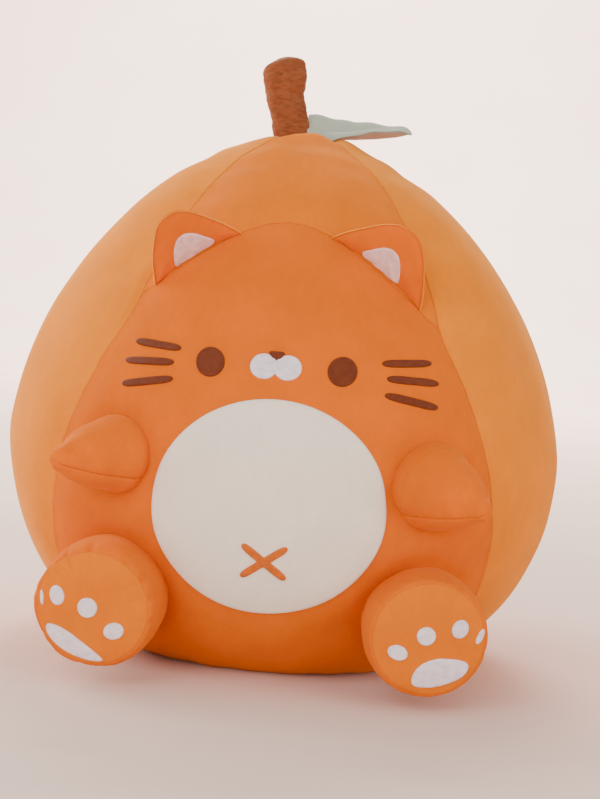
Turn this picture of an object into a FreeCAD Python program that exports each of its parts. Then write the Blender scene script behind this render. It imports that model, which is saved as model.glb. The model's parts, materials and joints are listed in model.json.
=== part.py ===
import FreeCAD, Part
import math
import os

os.makedirs("parts", exist_ok=True)

V = FreeCAD.Vector

# A round, stuffed plush cat. Millimetres, +Z up, the face towards -Y, the origin at the centre of
# the flat underside. "Left" is the cat's own left, which is +X. Azimuths are measured from the
# face: 0 is the middle of the face, 90 the cat's left side, 180 the middle of the back.

# ---- Body ----
BODY_WIDTH = 434.0            # at its widest
BODY_HEIGHT = 410.0           # without the stem
BODY_WAIST_Z = 163.0          # height of the widest place
BASE_WIDTH = 222.0            # flat underside
UPPER_FULLNESS = (1.58, 1.83)     # exponents of the outline above the widest place
LOWER_FULLNESS = (2.16, 1.45)     # exponents of the outline below it
PROFILE_STEPS = 10            # points along each half of the outline

# ---- Fabric and clearances ----
COVER = 2.5                   # plush fabric with its pile
GAP = 0.3                     # between a cover and what it holds, and around a limb's root
SEAM = 0.4                    # between two panels that are sewn together
APPLIQUE = 1.6                # a sewn-on patch
EMBROIDERY = 1.3              # raised satin stitch

# ---- Panel seams ----
SEAM_AZIMUTH_TOP = 37.5       # front side seams, on the upper half of the body
SEAM_AZIMUTH_BASE = 59.0      # the same seams at the underside
SEAM_SPREAD_Z = 260.0         # the seams spread apart below this height
SEAM_SPREAD_POWER = 0.95
BACK_SEAM_AZIMUTH = 103.0     # between side and back panels
ARCH_PEAK_Z = 333.0           # seam between forehead and face, on the middle line
ARCH_ROUNDING = 66.0          # how gently that seam rounds over its peak
SEAM_LEVELS = 8               # heights at which a twisted panel edge is set

# ---- Face and belly, as seen from the front ----
EYE_X, EYE_Z, EYE_WIDTH = 45.5, 232.6, 20.5
NOSE_Z, NOSE_WIDTH, NOSE_HEIGHT = 241.5, 10.0, 7.0
MUZZLE_X, MUZZLE_Z, MUZZLE_WIDTH = 8.8, 232.0, 17.2
WHISKER_WIDTH = 6.0
WHISKERS = (((69.0, 239.0), (106.0, 241.7)),
            ((73.0, 229.0), (112.5, 227.5)),
            ((72.4, 218.2), (111.0, 210.6)))
BELLY_Z, BELLY_WIDTH, BELLY_HEIGHT = 134.5, 164.0, 152.0
CROSS_Z, CROSS_WIDTH, CROSS_HEIGHT, CROSS_STROKE = 99.0, 31.6, 24.6, 5.0

# ---- Ears ----
EAR_INNER_X, EAR_OUTER_X = 32.0, 95.0     # ends of the ear's base, on the forehead seam
EAR_HEIGHT = 46.0
EAR_TIP_SHARE = 0.52          # place of the tip along the base
EAR_COVER = 2.0
EAR_WADDING = 3.4
EAR_LIFT = 2.0                # the base line stands off the body at its two ends
EAR_LEAN = {"left": 14.0, "right": 5.0}   # leaning back from straight out
EAR_SWING = 12.0              # degrees forward and back
EAR_GROOVE_REACH = 15.0       # taller than the body's bulge between the two ends of the base
INNER_EAR_WIDTH, INNER_EAR_HEIGHT, INNER_EAR_FOOT = 36.0, 19.0, 6.0

# ---- Arms ----
ARM_AZIMUTH = {"left": 31.5, "right": 30.9}
ARM_Z = {"left": 157.0, "right": 162.0}
ARM_ROOT_WIDTH, ARM_TIP_WIDTH, ARM_REACH = 57.0, 18.0, 63.0
ARM_HEADING = {"left": 35.0, "right": 36.0}
ARM_PITCH = {"left": -9.0, "right": 1.0}

# ---- Legs ----
LEG_AZIMUTH = {"left": 33.2, "right": 32.0}
LEG_Z = {"left": 56.0, "right": 60.0}
LEG_STANDOFF = 21.0           # root centre outside the body
LEG_WIDTH, LEG_BULGE = 88.0, 1.5
LEG_REACH = 41.0              # root centre to the sole
SOLE_WIDTH, SOLE_EDGE = 76.0, 5.0
LEG_HEADING = {"left": 7.0, "right": 7.0}
LEG_PITCH = {"left": -3.0, "right": -5.0}
LEG_LIFT = 14.0               # how far a leg can be lifted, in degrees
PAD_ROLL = {"left": 17.0, "right": 30.0}  # the foot turned about its own length
TOES = ((-29.0, -5.0), (-10.0, 4.5), (10.0, 4.5), (29.0, -5.0))
TOE_WIDTH, TOE_HEIGHT = 10.5, 12.5
PAD_DROP, PAD_WIDTH, PAD_HEIGHT = 22.5, 40.0, 16.0

# ---- Stem and leaf ----
STEM_X, STEM_LEAN = -13.0, 8.0            # leaning to the cat's right
STEM_STANDOFF = 1.5
STEM_ROOT_WIDTH, STEM_TOP_WIDTH, STEM_REACH, STEM_EDGE = 29.0, 33.0, 60.0, 7.0
STEM_BULGE = -0.6             # a little waisted
LEAF_HEIGHT_ON_STEM = 10.0
LEAF_LENGTH, LEAF_WIDTH, LEAF_ROOT_WIDTH, LEAF_LAYER = 80.0, 44.0, 14.0, 2.4
LEAF_ROLL = 14.0              # the front edge hangs lower

# ---- Tail ----
TAIL_Z, TAIL_PITCH = 78.0, 38.0
TAIL_ROOT_WIDTH, TAIL_TIP_WIDTH, TAIL_REACH = 40.0, 26.0, 72.0
TAIL_SWING = 12.0             # degrees to each side

# ---- Side label ----
LABEL_Z, LABEL_HEIGHT, LABEL_REACH, LABEL_THICKNESS = 225.0, 18.0, 10.0, 1.2

FAR = 1.5 * BODY_WIDTH        # clears the body from any side


# ---- Places and frames ----

def polar(radius, azimuth, z=0.0):
    """A point at a distance from the body's axis."""
    angle = math.radians(azimuth)
    return V(radius * math.sin(angle), -radius * math.cos(angle), z)


def heading(azimuth, pitch):
    """A unit direction: azimuth in plan, pitch above the horizontal."""
    rise = math.radians(pitch)
    return polar(math.cos(rise), azimuth, math.sin(rise))


def body_radius(z, depth=0.0):
    """Radius of the body at height z, for the surface that lies `depth` inside the cover."""
    half = BODY_WIDTH / 2 - depth
    base = BASE_WIDTH / 2
    if z >= BODY_WAIST_Z:
        share = (z - BODY_WAIST_Z) / (BODY_HEIGHT - depth - BODY_WAIST_Z)
        power, root = UPPER_FULLNESS
        return half * max(0.0, 1 - share ** power) ** (1 / root)
    share = (BODY_WAIST_Z - z) / (BODY_WAIST_Z - depth)
    power, root = LOWER_FULLNESS
    return base + (half - base) * max(0.0, 1 - share ** power) ** (1 / root)


def body_normal(azimuth, z):
    """The outward direction of the body's surface."""
    slope = (body_radius(z + 1) - body_radius(z - 1)) / 2
    return (polar(1.0, azimuth) - V(0, 0, slope)).normalize()


def on_front(x, z):
    """The point of the body's front surface behind (x, z) of the front view."""
    return V(x, -math.sqrt(body_radius(z) ** 2 - x ** 2), z)


def placed(shape, origin, along, up):
    """A shape drawn along +X with its top towards +Z, moved to where it belongs."""
    side = up.cross(along).normalize()
    top = along.cross(side)
    frame = FreeCAD.Matrix(along.x, side.x, top.x, origin.x,
                           along.y, side.y, top.y, origin.y,
                           along.z, side.z, top.z, origin.z,
                           0, 0, 0, 1)
    copy = shape.copy()
    copy.Placement = FreeCAD.Placement(frame)
    return copy


def mirrored(shape, side):
    """The shape as drawn for the cat's left, or its mirror image for the right."""
    return shape if side == "left" else shape.mirror(V(0, 0, 0), V(1, 0, 0))


# ---- Basic solids ----

def box(low, high):
    """A box between two corners."""
    size = high - low
    return Part.makeBox(size.x, size.y, size.z, low)


def prism(edges, depth):
    """A closed outline pushed along `depth`."""
    return Part.Face(Part.Wire(edges)).extrude(depth)


def turned(edges):
    """A half outline, closed by the X axis, turned about that axis."""
    ends = edges[0].Vertexes[0].Point, edges[-1].Vertexes[-1].Point
    wire = Part.Wire(edges + [Part.makeLine(ends[1], ends[0])])
    return Part.Face(wire).revolve(V(0, 0, 0), V(1, 0, 0), 360)


def arc(start, middle, end):
    """A circular arc through three points."""
    return Part.Arc(start, middle, end).toShape()


def spline(points):
    """A smooth curve through points."""
    curve = Part.BSplineCurve()
    curve.interpolate(points)
    return curve.toShape()


def closed_spline(points):
    """A smooth closed outline through points."""
    curve = Part.BSplineCurve()
    curve.interpolate(Points=points, PeriodicFlag=True)
    return [curve.toShape()]


def body_solid(depth):
    """The whole round body, `depth` inside its outer surface."""
    top = BODY_HEIGHT - depth
    shares = [math.sin(math.radians(90 * k / PROFILE_STEPS)) for k in range(PROFILE_STEPS + 1)]
    upper = [BODY_WAIST_Z + (top - BODY_WAIST_Z) * share for share in reversed(shares)]
    lower = [BODY_WAIST_Z - (BODY_WAIST_Z - depth) * share for share in shares[1:]]
    points = [V(body_radius(z, depth), 0, z) for z in upper + lower]
    foot = V(0, 0, depth)
    edges = [spline(points), Part.makeLine(points[-1], foot), Part.makeLine(foot, points[0])]
    return Part.Face(Part.Wire(edges)).revolve(V(0, 0, 0), V(0, 0, 1), 360)


def teardrop(root_width, tip_width, reach, depth=0.0):
    """Two balls and the cone that touches both: a stuffed limb along +X from its root's centre."""
    root, tip = root_width / 2 - depth, tip_width / 2 - depth
    span = reach - tip_width / 2
    lean = math.asin((root - tip) / span)
    rise = V(math.sin(lean), 0, math.cos(lean))
    back = V(math.cos(math.pi / 2 + (math.pi / 2 - lean) / 2), 0,
             math.sin(math.pi / 2 + (math.pi / 2 - lean) / 2))
    front = V(math.cos((math.pi / 2 - lean) / 2), 0, math.sin((math.pi / 2 - lean) / 2))
    centre = V(span, 0, 0)
    return turned([arc(V(-root, 0, 0), back * root, rise * root),
                   Part.makeLine(rise * root, centre + rise * tip),
                   arc(centre + rise * tip, centre + front * tip, centre + V(tip, 0, 0))])


def drum(root_width, end_width, reach, edge, bulge=0.0, depth=0.0):
    """A stuffed drum along +X: a ball root, a full side wall and a flat end."""
    root, end, length = root_width / 2 - depth, end_width / 2, reach - depth
    shoulder = V(length - edge, 0, end + edge - depth)
    half = math.sqrt(0.5)
    corner = V(length - edge + edge * half, 0, end - depth + edge * half)
    wall = V((length - edge) / 2, 0, (root + shoulder.z) / 2 + bulge)
    return turned([arc(V(-root, 0, 0), V(-root * half, 0, root * half), V(0, 0, root)),
                   arc(V(0, 0, root), wall, shoulder),
                   arc(shoulder, corner, V(length, 0, end - depth)),
                   Part.makeLine(V(length, 0, end - depth), V(length, 0, 0))])


# ---- Body panels ----

def seam_azimuth(z):
    """Azimuth of the front side seams at height z."""
    share = min(1.0, max(0.0, (SEAM_SPREAD_Z - z) / SEAM_SPREAD_Z))
    return SEAM_AZIMUTH_TOP + (SEAM_AZIMUTH_BASE - SEAM_AZIMUTH_TOP) * share ** SEAM_SPREAD_POWER


def sector(start, end):
    """The space between two seams, each an azimuth that depends on height, half a seam inside."""
    wires = []
    for level in range(SEAM_LEVELS + 1):
        z = -COVER + (BODY_HEIGHT + 3 * COVER) * level / SEAM_LEVELS
        first, last = start(z), end(z)
        tip = polar(SEAM / 2 / math.sin(math.radians((last - first) / 2)), (first + last) / 2, z)
        wires.append(Part.makePolygon([tip, tip + polar(FAR, first), tip + polar(FAR, last), tip]))
    return Part.makeLoft(wires, True, False)


def arch_z(x):
    """Height of the seam between forehead and face."""
    return ARCH_PEAK_Z + ARCH_ROUNDING - math.hypot(ARCH_ROUNDING, x)


def front_region(above):
    """The front half of space above or below the forehead seam, half a seam away from it."""
    side = 1 if above else -1
    reach = BODY_WIDTH / 2
    xs = [reach * k / 8 for k in range(-8, 9)]
    seam = [V(x, -FAR, arch_z(x) + side * SEAM / 2) for x in xs]
    limit = BODY_HEIGHT + FAR if above else -FAR
    ends = [V(reach, -FAR, limit), V(-reach, -FAR, limit)]
    edges = [spline(seam), Part.makeLine(seam[-1], ends[0]), Part.makeLine(ends[0], ends[1]),
             Part.makeLine(ends[1], seam[0])]
    return prism(edges, V(0, FAR, 0))


def body_panels(hollows):
    """The sewn cover: forehead, face with belly, two sides, two backs and the underside."""
    shell = body_solid(0).cut(body_solid(COVER))
    shell = shell.cut(Part.makeCylinder(BASE_WIDTH / 2 + SEAM / 2, COVER + GAP, V(0, 0, -GAP)))
    for hollow in hollows:
        shell = shell.cut(hollow)
    front = shell.common(sector(lambda z: -seam_azimuth(z), seam_azimuth))
    side = shell.common(sector(seam_azimuth, lambda z: BACK_SEAM_AZIMUTH))
    back = shell.common(sector(lambda z: BACK_SEAM_AZIMUTH, lambda z: 180))
    other_side = shell.common(sector(lambda z: -BACK_SEAM_AZIMUTH, lambda z: -seam_azimuth(z)))
    other_back = shell.common(sector(lambda z: -180, lambda z: -BACK_SEAM_AZIMUTH))
    return {"forehead_panel": front.common(front_region(True)),
            "face_panel": front.common(front_region(False)),
            "side_panel_left": side,
            "side_panel_right": other_side,
            "back_panel_left": back,
            "back_panel_right": other_back,
            "base_panel": Part.makeCylinder(BASE_WIDTH / 2 - SEAM / 2, COVER)}


# ---- Patches and embroidery on the front of the body ----

def oval(x, z, width, height):
    """Outline of an ellipse in the front view."""
    centre = V(x, -FAR, z)
    if height > width:
        ellipse = Part.Ellipse(centre + V(0, 0, height / 2), centre + V(width / 2, 0, 0), centre)
    else:
        ellipse = Part.Ellipse(centre + V(width / 2, 0, 0), centre + V(0, 0, height / 2), centre)
    return [ellipse.toShape()]


def circle(x, z, width):
    """Outline of a circle in the front view."""
    return [Part.makeCircle(width / 2, V(x, -FAR, z), V(0, -1, 0))]


def stroke(start, end, width):
    """Outline of a straight stroke with round ends in the front view."""
    a, b = V(start[0], -FAR, start[1]), V(end[0], -FAR, end[1])
    along = (b - a).normalize() * (width / 2)
    across = V(along.z, 0, -along.x)
    points = [a - along, a + across, (a + b) / 2 + across * 1.04, b + across, b + along,
              b - across, (a + b) / 2 - across * 1.04, a - across]
    return closed_spline(points)


def nose_outline():
    """A rounded triangle that points down."""
    half, top, low = NOSE_WIDTH / 2, NOSE_Z + NOSE_HEIGHT / 2, NOSE_Z - NOSE_HEIGHT / 2
    shoulder = NOSE_Z + NOSE_HEIGHT / 6
    return closed_spline([V(0, -FAR, top), V(half * 0.8, -FAR, top), V(half, -FAR, shoulder),
                          V(0, -FAR, low), V(-half, -FAR, shoulder), V(-half * 0.8, -FAR, top)])


def skin_layer(base, thickness):
    """The outer and inner bounds of a thin layer that starts `base` above the body's surface."""
    return body_solid(-base - thickness), body_solid(-base)


def front_patch(layer, edges):
    """The part of a layer that lies behind an outline of the front view."""
    outer, inner = layer
    return prism(edges, V(0, FAR - COVER, 0)).common(outer).cut(inner)


def face_pieces():
    """Eyes, nose, muzzle, whiskers, belly patch and the cross sewn on it."""
    stitched = skin_layer(GAP, EMBROIDERY)
    patch = skin_layer(GAP, APPLIQUE)
    on_patch = skin_layer(GAP + APPLIQUE + GAP, EMBROIDERY)
    pieces = {}
    for side, sign in (("left", 1), ("right", -1)):
        pieces["eye_" + side] = front_patch(stitched, circle(sign * EYE_X, EYE_Z, EYE_WIDTH))
        hairs = [front_patch(stitched, stroke((sign * a[0], a[1]), (sign * b[0], b[1]), WHISKER_WIDTH))
                 for a, b in WHISKERS]
        pieces["whiskers_" + side] = Part.makeCompound(hairs)
    pieces["nose"] = front_patch(stitched, nose_outline())
    lobes = [front_patch(stitched, circle(sign * MUZZLE_X, MUZZLE_Z, MUZZLE_WIDTH)) for sign in (1, -1)]
    pieces["nose"] = pieces["nose"].cut(Part.makeCompound(
        [prism(circle(sign * MUZZLE_X, MUZZLE_Z, MUZZLE_WIDTH + SEAM), V(0, FAR, 0)) for sign in (1, -1)]))
    pieces["muzzle"] = Part.makeCompound(lobes)
    pieces["belly_patch"] = front_patch(patch, oval(0, BELLY_Z, BELLY_WIDTH, BELLY_HEIGHT))
    wide, tall = CROSS_WIDTH / 2 - CROSS_STROKE / 2, CROSS_HEIGHT / 2 - CROSS_STROKE / 2
    arms = [front_patch(on_patch, stroke((-wide, CROSS_Z - sign * tall), (wide, CROSS_Z + sign * tall),
                                         CROSS_STROKE)) for sign in (1, -1)]
    pieces["navel_cross"] = arms[0].fuse(arms[1])
    return pieces


# ---- Ears ----

def ear_frame(side):
    """Start of the left ear's base, the direction along it and the direction the ear stands in."""
    inner, outer = [on_front(x, arch_z(x)) for x in (EAR_INNER_X, EAR_OUTER_X)]
    along = (outer - inner).normalize()
    middle = (inner + outer) / 2
    out = body_normal(math.degrees(math.atan2(middle.x, -middle.y)), middle.z)
    lift = (out - along * out.dot(along)).normalize()
    back = lift.cross(along).normalize()
    lean = math.radians(EAR_LEAN[side])
    stand = lift * math.cos(lean) + back * math.sin(lean)
    return inner + lift * EAR_LIFT, along, stand


def ear_base():
    """Length of an ear's base."""
    return (on_front(EAR_OUTER_X, arch_z(EAR_OUTER_X)) - on_front(EAR_INNER_X, arch_z(EAR_INNER_X))).Length


def ear_thickness():
    """Both covers, the wadding and the gaps between them."""
    return 2 * EAR_COVER + EAR_WADDING + 2 * GAP


def ear_outline():
    """A leaning triangle with full sides and a round tip, in the ear's own plane."""
    base, tip = ear_base(), EAR_TIP_SHARE * ear_base()
    points = [V(0, 0, 0), V(tip * 0.5, 0, EAR_HEIGHT * 0.66), V(tip * 0.86, 0, EAR_HEIGHT * 0.96),
              V(tip * 1.16, 0, EAR_HEIGHT * 0.97), V(tip + (base - tip) * 0.55, 0, EAR_HEIGHT * 0.66),
              V(base, 0, 0)]
    return [spline(points), Part.makeLine(points[-1], points[0])]


def ear_solid():
    """The whole ear with its rolled base, along +X, standing towards +Z, its face towards -Y."""
    thick = ear_thickness()
    blade = prism(ear_outline(), V(0, thick, 0))
    blade.translate(V(0, -thick / 2, 0))
    roll = Part.makeCylinder(thick / 2, ear_base(), V(0, 0, 0), V(1, 0, 0))
    return blade.fuse(roll)


def ear_slice(ear, low, high):
    """The part of the ear between two depths."""
    return ear.common(box(V(-FAR, low, -FAR), V(FAR, high, FAR)))


def inner_ear():
    """The embroidered triangle on the front of the ear."""
    middle, half, foot = EAR_TIP_SHARE * ear_base(), INNER_EAR_WIDTH / 2, INNER_EAR_FOOT
    face = -ear_thickness() / 2 - GAP
    points = [V(middle - half, face, foot), V(middle - half * 0.5, face, foot + INNER_EAR_HEIGHT * 0.75),
              V(middle, face, foot + INNER_EAR_HEIGHT),
              V(middle + half * 0.5, face, foot + INNER_EAR_HEIGHT * 0.75), V(middle + half, face, foot)]
    return prism([spline(points), Part.makeLine(points[-1], points[0])], V(0, -EMBROIDERY, 0))


def ear_pieces(side):
    """Front cover, wadding, back cover and inner patch of one ear."""
    ear, half = ear_solid(), ear_thickness() / 2
    wadding = EAR_WADDING / 2
    parts = {"front": ear_slice(ear, -half, -wadding - GAP),
             "wadding": ear_slice(ear, -wadding, wadding),
             "back": ear_slice(ear, wadding + GAP, half),
             "inner": inner_ear()}
    origin, along, stand = ear_frame(side)
    return {"ear_" + side + "_" + name: mirrored(placed(part, origin, along, stand), side)
            for name, part in parts.items()}


def ear_groove(side):
    """The hollow in the body around an ear's rolled base, opening outwards so that the ear can swing."""
    turn, half = math.radians(EAR_SWING), ear_thickness() / 2 + GAP
    foot = V(-GAP, half * math.cos(turn), -half * math.sin(turn))
    mouth = foot + V(0, math.sin(turn), math.cos(turn)) * EAR_GROOVE_REACH
    corners = [foot, mouth, V(-GAP, -mouth.y, mouth.z), V(-GAP, -foot.y, foot.z), foot]
    length = ear_base() + 2 * GAP
    wedge = prism(Part.makePolygon(corners).Edges, V(length, 0, 0))
    roll = Part.makeCylinder(half + GAP / 3, length, V(-GAP, 0, 0), V(1, 0, 0))
    origin, along, stand = ear_frame(side)
    return mirrored(placed(wedge.fuse(roll), origin, along, stand), side)


# ---- Arms, legs, stem and tail: stuffed limbs whose ball roots sit in hollows of the body ----

def pitch_axis(azimuth):
    """The horizontal hinge about which a positive turn lifts a limb that points at an azimuth."""
    return polar(1.0, azimuth).cross(V(0, 0, 1))


def arm_frame(side):
    """Centre of an arm's root and the way it points, as for the cat's left."""
    root = polar(body_radius(ARM_Z[side]), ARM_AZIMUTH[side], ARM_Z[side])
    return root, heading(ARM_HEADING[side], ARM_PITCH[side])


def arm(side, depth=0.0):
    """One arm, drawn for the cat's left."""
    return placed(teardrop(ARM_ROOT_WIDTH, ARM_TIP_WIDTH, ARM_REACH, depth), *arm_frame(side), V(0, 0, 1))


def arm_pieces(side):
    """Upper and lower cover, sewn along the arm's edge, and the stuffing."""
    shell = teardrop(ARM_ROOT_WIDTH, ARM_TIP_WIDTH, ARM_REACH)
    shell = shell.cut(teardrop(ARM_ROOT_WIDTH, ARM_TIP_WIDTH, ARM_REACH, COVER))
    parts = {"upper": shell.common(box(V(-FAR, -FAR, SEAM / 2), V(FAR, FAR, FAR))),
             "lower": shell.common(box(V(-FAR, -FAR, -FAR), V(FAR, FAR, -SEAM / 2))),
             "stuffing": teardrop(ARM_ROOT_WIDTH, ARM_TIP_WIDTH, ARM_REACH, COVER + GAP)}
    return {"arm_" + side + "_" + name: mirrored(placed(part, *arm_frame(side), V(0, 0, 1)), side)
            for name, part in parts.items()}


def leg_frame(side):
    """Centre of a leg's root and the way it points, as for the cat's left."""
    root = polar(body_radius(LEG_Z[side]) + LEG_STANDOFF, LEG_AZIMUTH[side], LEG_Z[side])
    return root, heading(LEG_HEADING[side], LEG_PITCH[side])


def leg_drum(depth=0.0):
    """One leg along +X."""
    return drum(LEG_WIDTH, SOLE_WIDTH, LEG_REACH, SOLE_EDGE, LEG_BULGE, depth)


def sole_oval(y, z, width, height, roll):
    """A raised oval pad on the sole, turned with the foot."""
    turn = math.radians(roll)
    centre = V(LEG_REACH + GAP, y * math.cos(turn) - z * math.sin(turn),
               y * math.sin(turn) + z * math.cos(turn))
    across = V(0, math.cos(turn), math.sin(turn))
    upward = V(0, -math.sin(turn), math.cos(turn))
    if height > width:
        ellipse = Part.Ellipse(centre + upward * (height / 2), centre + across * (width / 2), centre)
    else:
        ellipse = Part.Ellipse(centre + across * (width / 2), centre + upward * (height / 2), centre)
    return prism([ellipse.toShape()], V(EMBROIDERY, 0, 0))


def leg_pieces(side):
    """Side wall, sole, stuffing, four toe pads and the large pad."""
    shell = leg_drum().cut(leg_drum(COVER))
    rim = SOLE_WIDTH / 2
    inside = LEG_REACH - COVER
    disc = Part.makeCylinder(rim - SEAM / 2, COVER, V(inside, 0, 0), V(1, 0, 0))
    hole = Part.makeCylinder(rim + SEAM / 2, COVER + 2 * GAP, V(inside - GAP, 0, 0), V(1, 0, 0))
    roll = PAD_ROLL[side]
    toes = [sole_oval(y, z, TOE_WIDTH, TOE_HEIGHT, roll) for y, z in TOES]
    parts = {"cover": shell.cut(hole),
             "sole": disc,
             "stuffing": leg_drum(COVER + GAP),
             "toe_pads": Part.makeCompound(toes),
             "heel_pad": sole_oval(0, -PAD_DROP, PAD_WIDTH, PAD_HEIGHT, roll)}
    return {"leg_" + side + "_" + name: mirrored(placed(part, *leg_frame(side), V(0, 0, 1)), side)
            for name, part in parts.items()}


def leg_hollows(side):
    """Room for a leg at rest and lifted as far as it goes, where it presses into the body."""
    root, direction = leg_frame(side)
    hollows = []
    for step, turn in enumerate((0.0, LEG_LIFT)):
        leg = placed(leg_drum(-GAP * (1 + step / 3)), root, direction, V(0, 0, 1))
        leg.rotate(root, pitch_axis(LEG_HEADING[side]), turn)
        hollows.append(mirrored(leg, side))
    return hollows


def stem_root():
    """Centre of the stem's root, on top of the body."""
    return V(STEM_X, 0, BODY_HEIGHT + STEM_STANDOFF)


def stem_direction():
    """The way the stem points."""
    lean = math.radians(STEM_LEAN)
    return V(-math.sin(lean), 0, math.cos(lean))


def stem(depth=0.0):
    """The stem in place."""
    solid = drum(STEM_ROOT_WIDTH, STEM_TOP_WIDTH - 2 * STEM_EDGE, STEM_REACH, STEM_EDGE, STEM_BULGE, depth)
    return placed(solid, stem_root(), stem_direction(), V(0, -1, 0))


def stem_pieces():
    """Cover and stuffing of the stem."""
    return {"stem_cover": stem().cut(stem(COVER)), "stem_stuffing": stem(COVER + GAP)}


def tail_root():
    """Centre of the tail's root, on the middle of the back."""
    return polar(body_radius(TAIL_Z), 180, TAIL_Z)


def tail(depth=0.0):
    """The tail in place."""
    solid = teardrop(TAIL_ROOT_WIDTH, TAIL_TIP_WIDTH, TAIL_REACH, depth)
    return placed(solid, tail_root(), heading(180, TAIL_PITCH), V(0, 0, 1))


def tail_pieces():
    """Cover and stuffing of the tail."""
    return {"tail_cover": tail().cut(tail(COVER)), "tail_stuffing": tail(COVER + GAP)}


def tail_hollows():
    """Room for the tail at rest and swung to both sides, where it presses into the body."""
    hollows = []
    for step, turn in enumerate((0.0, TAIL_SWING, -TAIL_SWING)):
        room = tail(-GAP * (1 + step / 3))
        room.rotate(tail_root(), V(0, 0, 1), turn)
        hollows.append(room)
    return hollows


# ---- Leaf ----

def leaf_root():
    """Middle of the leaf's root line, just off the stem's side."""
    foot = stem_root() + stem_direction() * LEAF_HEIGHT_ON_STEM
    rise = (STEM_TOP_WIDTH - STEM_ROOT_WIDTH) / 2 * LEAF_HEIGHT_ON_STEM / (STEM_REACH - STEM_EDGE)
    return foot + V(STEM_ROOT_WIDTH / 2 + rise + LEAF_LAYER + GAP + SEAM, 0, 0)


def leaf_edge(sign):
    """One side of the leaf from its root to its pointed tip, in plan."""
    half, root = LEAF_WIDTH / 2, LEAF_ROOT_WIDTH / 2
    points = [V(0, sign * root, 0), V(LEAF_LENGTH * 0.16, sign * half * 0.78, 0),
              V(LEAF_LENGTH * 0.42, sign * half, 0), V(LEAF_LENGTH * 0.76, sign * half * 0.6, 0),
              V(LEAF_LENGTH, 0, 0)]
    return points


def leaf_pieces():
    """The two layers of the leaf."""
    far_side, near_side = leaf_edge(1), leaf_edge(-1)
    edges = [spline(far_side), spline(list(reversed(near_side))), Part.makeLine(near_side[0], far_side[0])]
    blade = prism(edges, V(0, 0, 2 * LEAF_LAYER))
    blade.translate(V(0, 0, -LEAF_LAYER))
    roll = Part.makeCylinder(LEAF_LAYER, LEAF_ROOT_WIDTH, V(0, -LEAF_ROOT_WIDTH / 2, 0), V(0, 1, 0))
    leaf = blade.fuse(roll)
    parts = {"leaf_top": leaf.common(box(V(-FAR, -FAR, GAP / 2), V(FAR, FAR, FAR))),
             "leaf_underside": leaf.common(box(V(-FAR, -FAR, -FAR), V(FAR, FAR, -GAP / 2)))}
    tilt = math.radians(LEAF_ROLL)
    up = V(0, -math.sin(tilt), math.cos(tilt))
    return {name: placed(part, leaf_root(), V(1, 0, 0), up) for name, part in parts.items()}


# ---- Side label ----

def label_frame():
    """A point of the seam that holds the label, the way out of the body and the way up it."""
    out = body_normal(BACK_SEAM_AZIMUTH, LABEL_Z)
    across = polar(1.0, BACK_SEAM_AZIMUTH + 90)
    return polar(body_radius(LABEL_Z), BACK_SEAM_AZIMUTH, LABEL_Z), out, out.cross(across)


def label():
    """A folded blank ribbon that stands out of the side seam."""
    origin, out, up = label_frame()
    half = LABEL_HEIGHT / 2
    flap = box(V(GAP + SEAM, -LABEL_THICKNESS / 2, -half), V(LABEL_REACH, LABEL_THICKNESS / 2, half))
    return placed(flap, origin, out, up)


# ---- Assembly ----

def body_hollows():
    """Everything that the cover and the stuffing leave room for."""
    hollows = []
    for side in ("left", "right"):
        hollows.append(ear_groove(side))
        hollows.append(mirrored(arm(side, -GAP), side))
        hollows.extend(leg_hollows(side))
    hollows.append(stem(-GAP))
    hollows.extend(tail_hollows())
    return hollows


def body_stuffing(hollows):
    """The filling of the body."""
    filling = body_solid(COVER + GAP)
    for hollow in hollows:
        filling = filling.cut(hollow)
    return filling


def build():
    """Every piece of the cat by name."""
    hollows = body_hollows()
    pieces = body_panels(hollows)
    pieces["body_stuffing"] = body_stuffing(hollows)
    pieces.update(face_pieces())
    for side in ("left", "right"):
        pieces.update(ear_pieces(side))
        pieces.update(arm_pieces(side))
        pieces.update(leg_pieces(side))
    pieces.update(stem_pieces())
    pieces.update(leaf_pieces())
    pieces.update(tail_pieces())
    pieces["side_label"] = label()
    return pieces


def print_hinge(name, centre, axis, side="left"):
    """Print a hinge's place in metres and its axis."""
    sign = 1 if side == "left" else -1
    place = [round(sign * centre.x / 1000, 5), round(centre.y / 1000, 5), round(centre.z / 1000, 5)]
    print("hinge", name, place, [round(axis.x, 5), round(sign * axis.y, 5), round(sign * axis.z, 5)])


def print_hinges():
    """Print where each joint turns. A mirrored axis keeps its turn's sense: +X, -Y, -Z."""
    for side in ("left", "right"):
        origin, along, stand = ear_frame(side)
        print_hinge("ear_" + side, origin + along * (ear_base() / 2), along * -1, side)
        print_hinge("arm_" + side, arm_frame(side)[0], pitch_axis(ARM_HEADING[side]), side)
        print_hinge("leg_" + side, leg_frame(side)[0], pitch_axis(LEG_HEADING[side]), side)
    print_hinge("stem", stem_root(), V(0, 1, 0))
    print_hinge("leaf", leaf_root(), V(0, -1, 0))
    print_hinge("tail", tail_root(), V(0, 0, 1))
    origin, out, up = label_frame()
    print_hinge("label", origin + out * (GAP + SEAM), up)


def main():
    """Build the cat and write one file for each piece."""
    for name, shape in build().items():
        solids = shape.Solids
        volume = sum(solid.Volume for solid in solids)
        print(name, len(solids), "solid(s)", round(volume), "mm3", "valid" if shape.isValid() else "INVALID")
        Part.makeCompound(solids).exportStep("parts/" + name + ".step")
    print_hinges()


main()
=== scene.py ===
import json
import math

import bpy
import numpy as np
from mathutils import Matrix, Vector, kdtree


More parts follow.
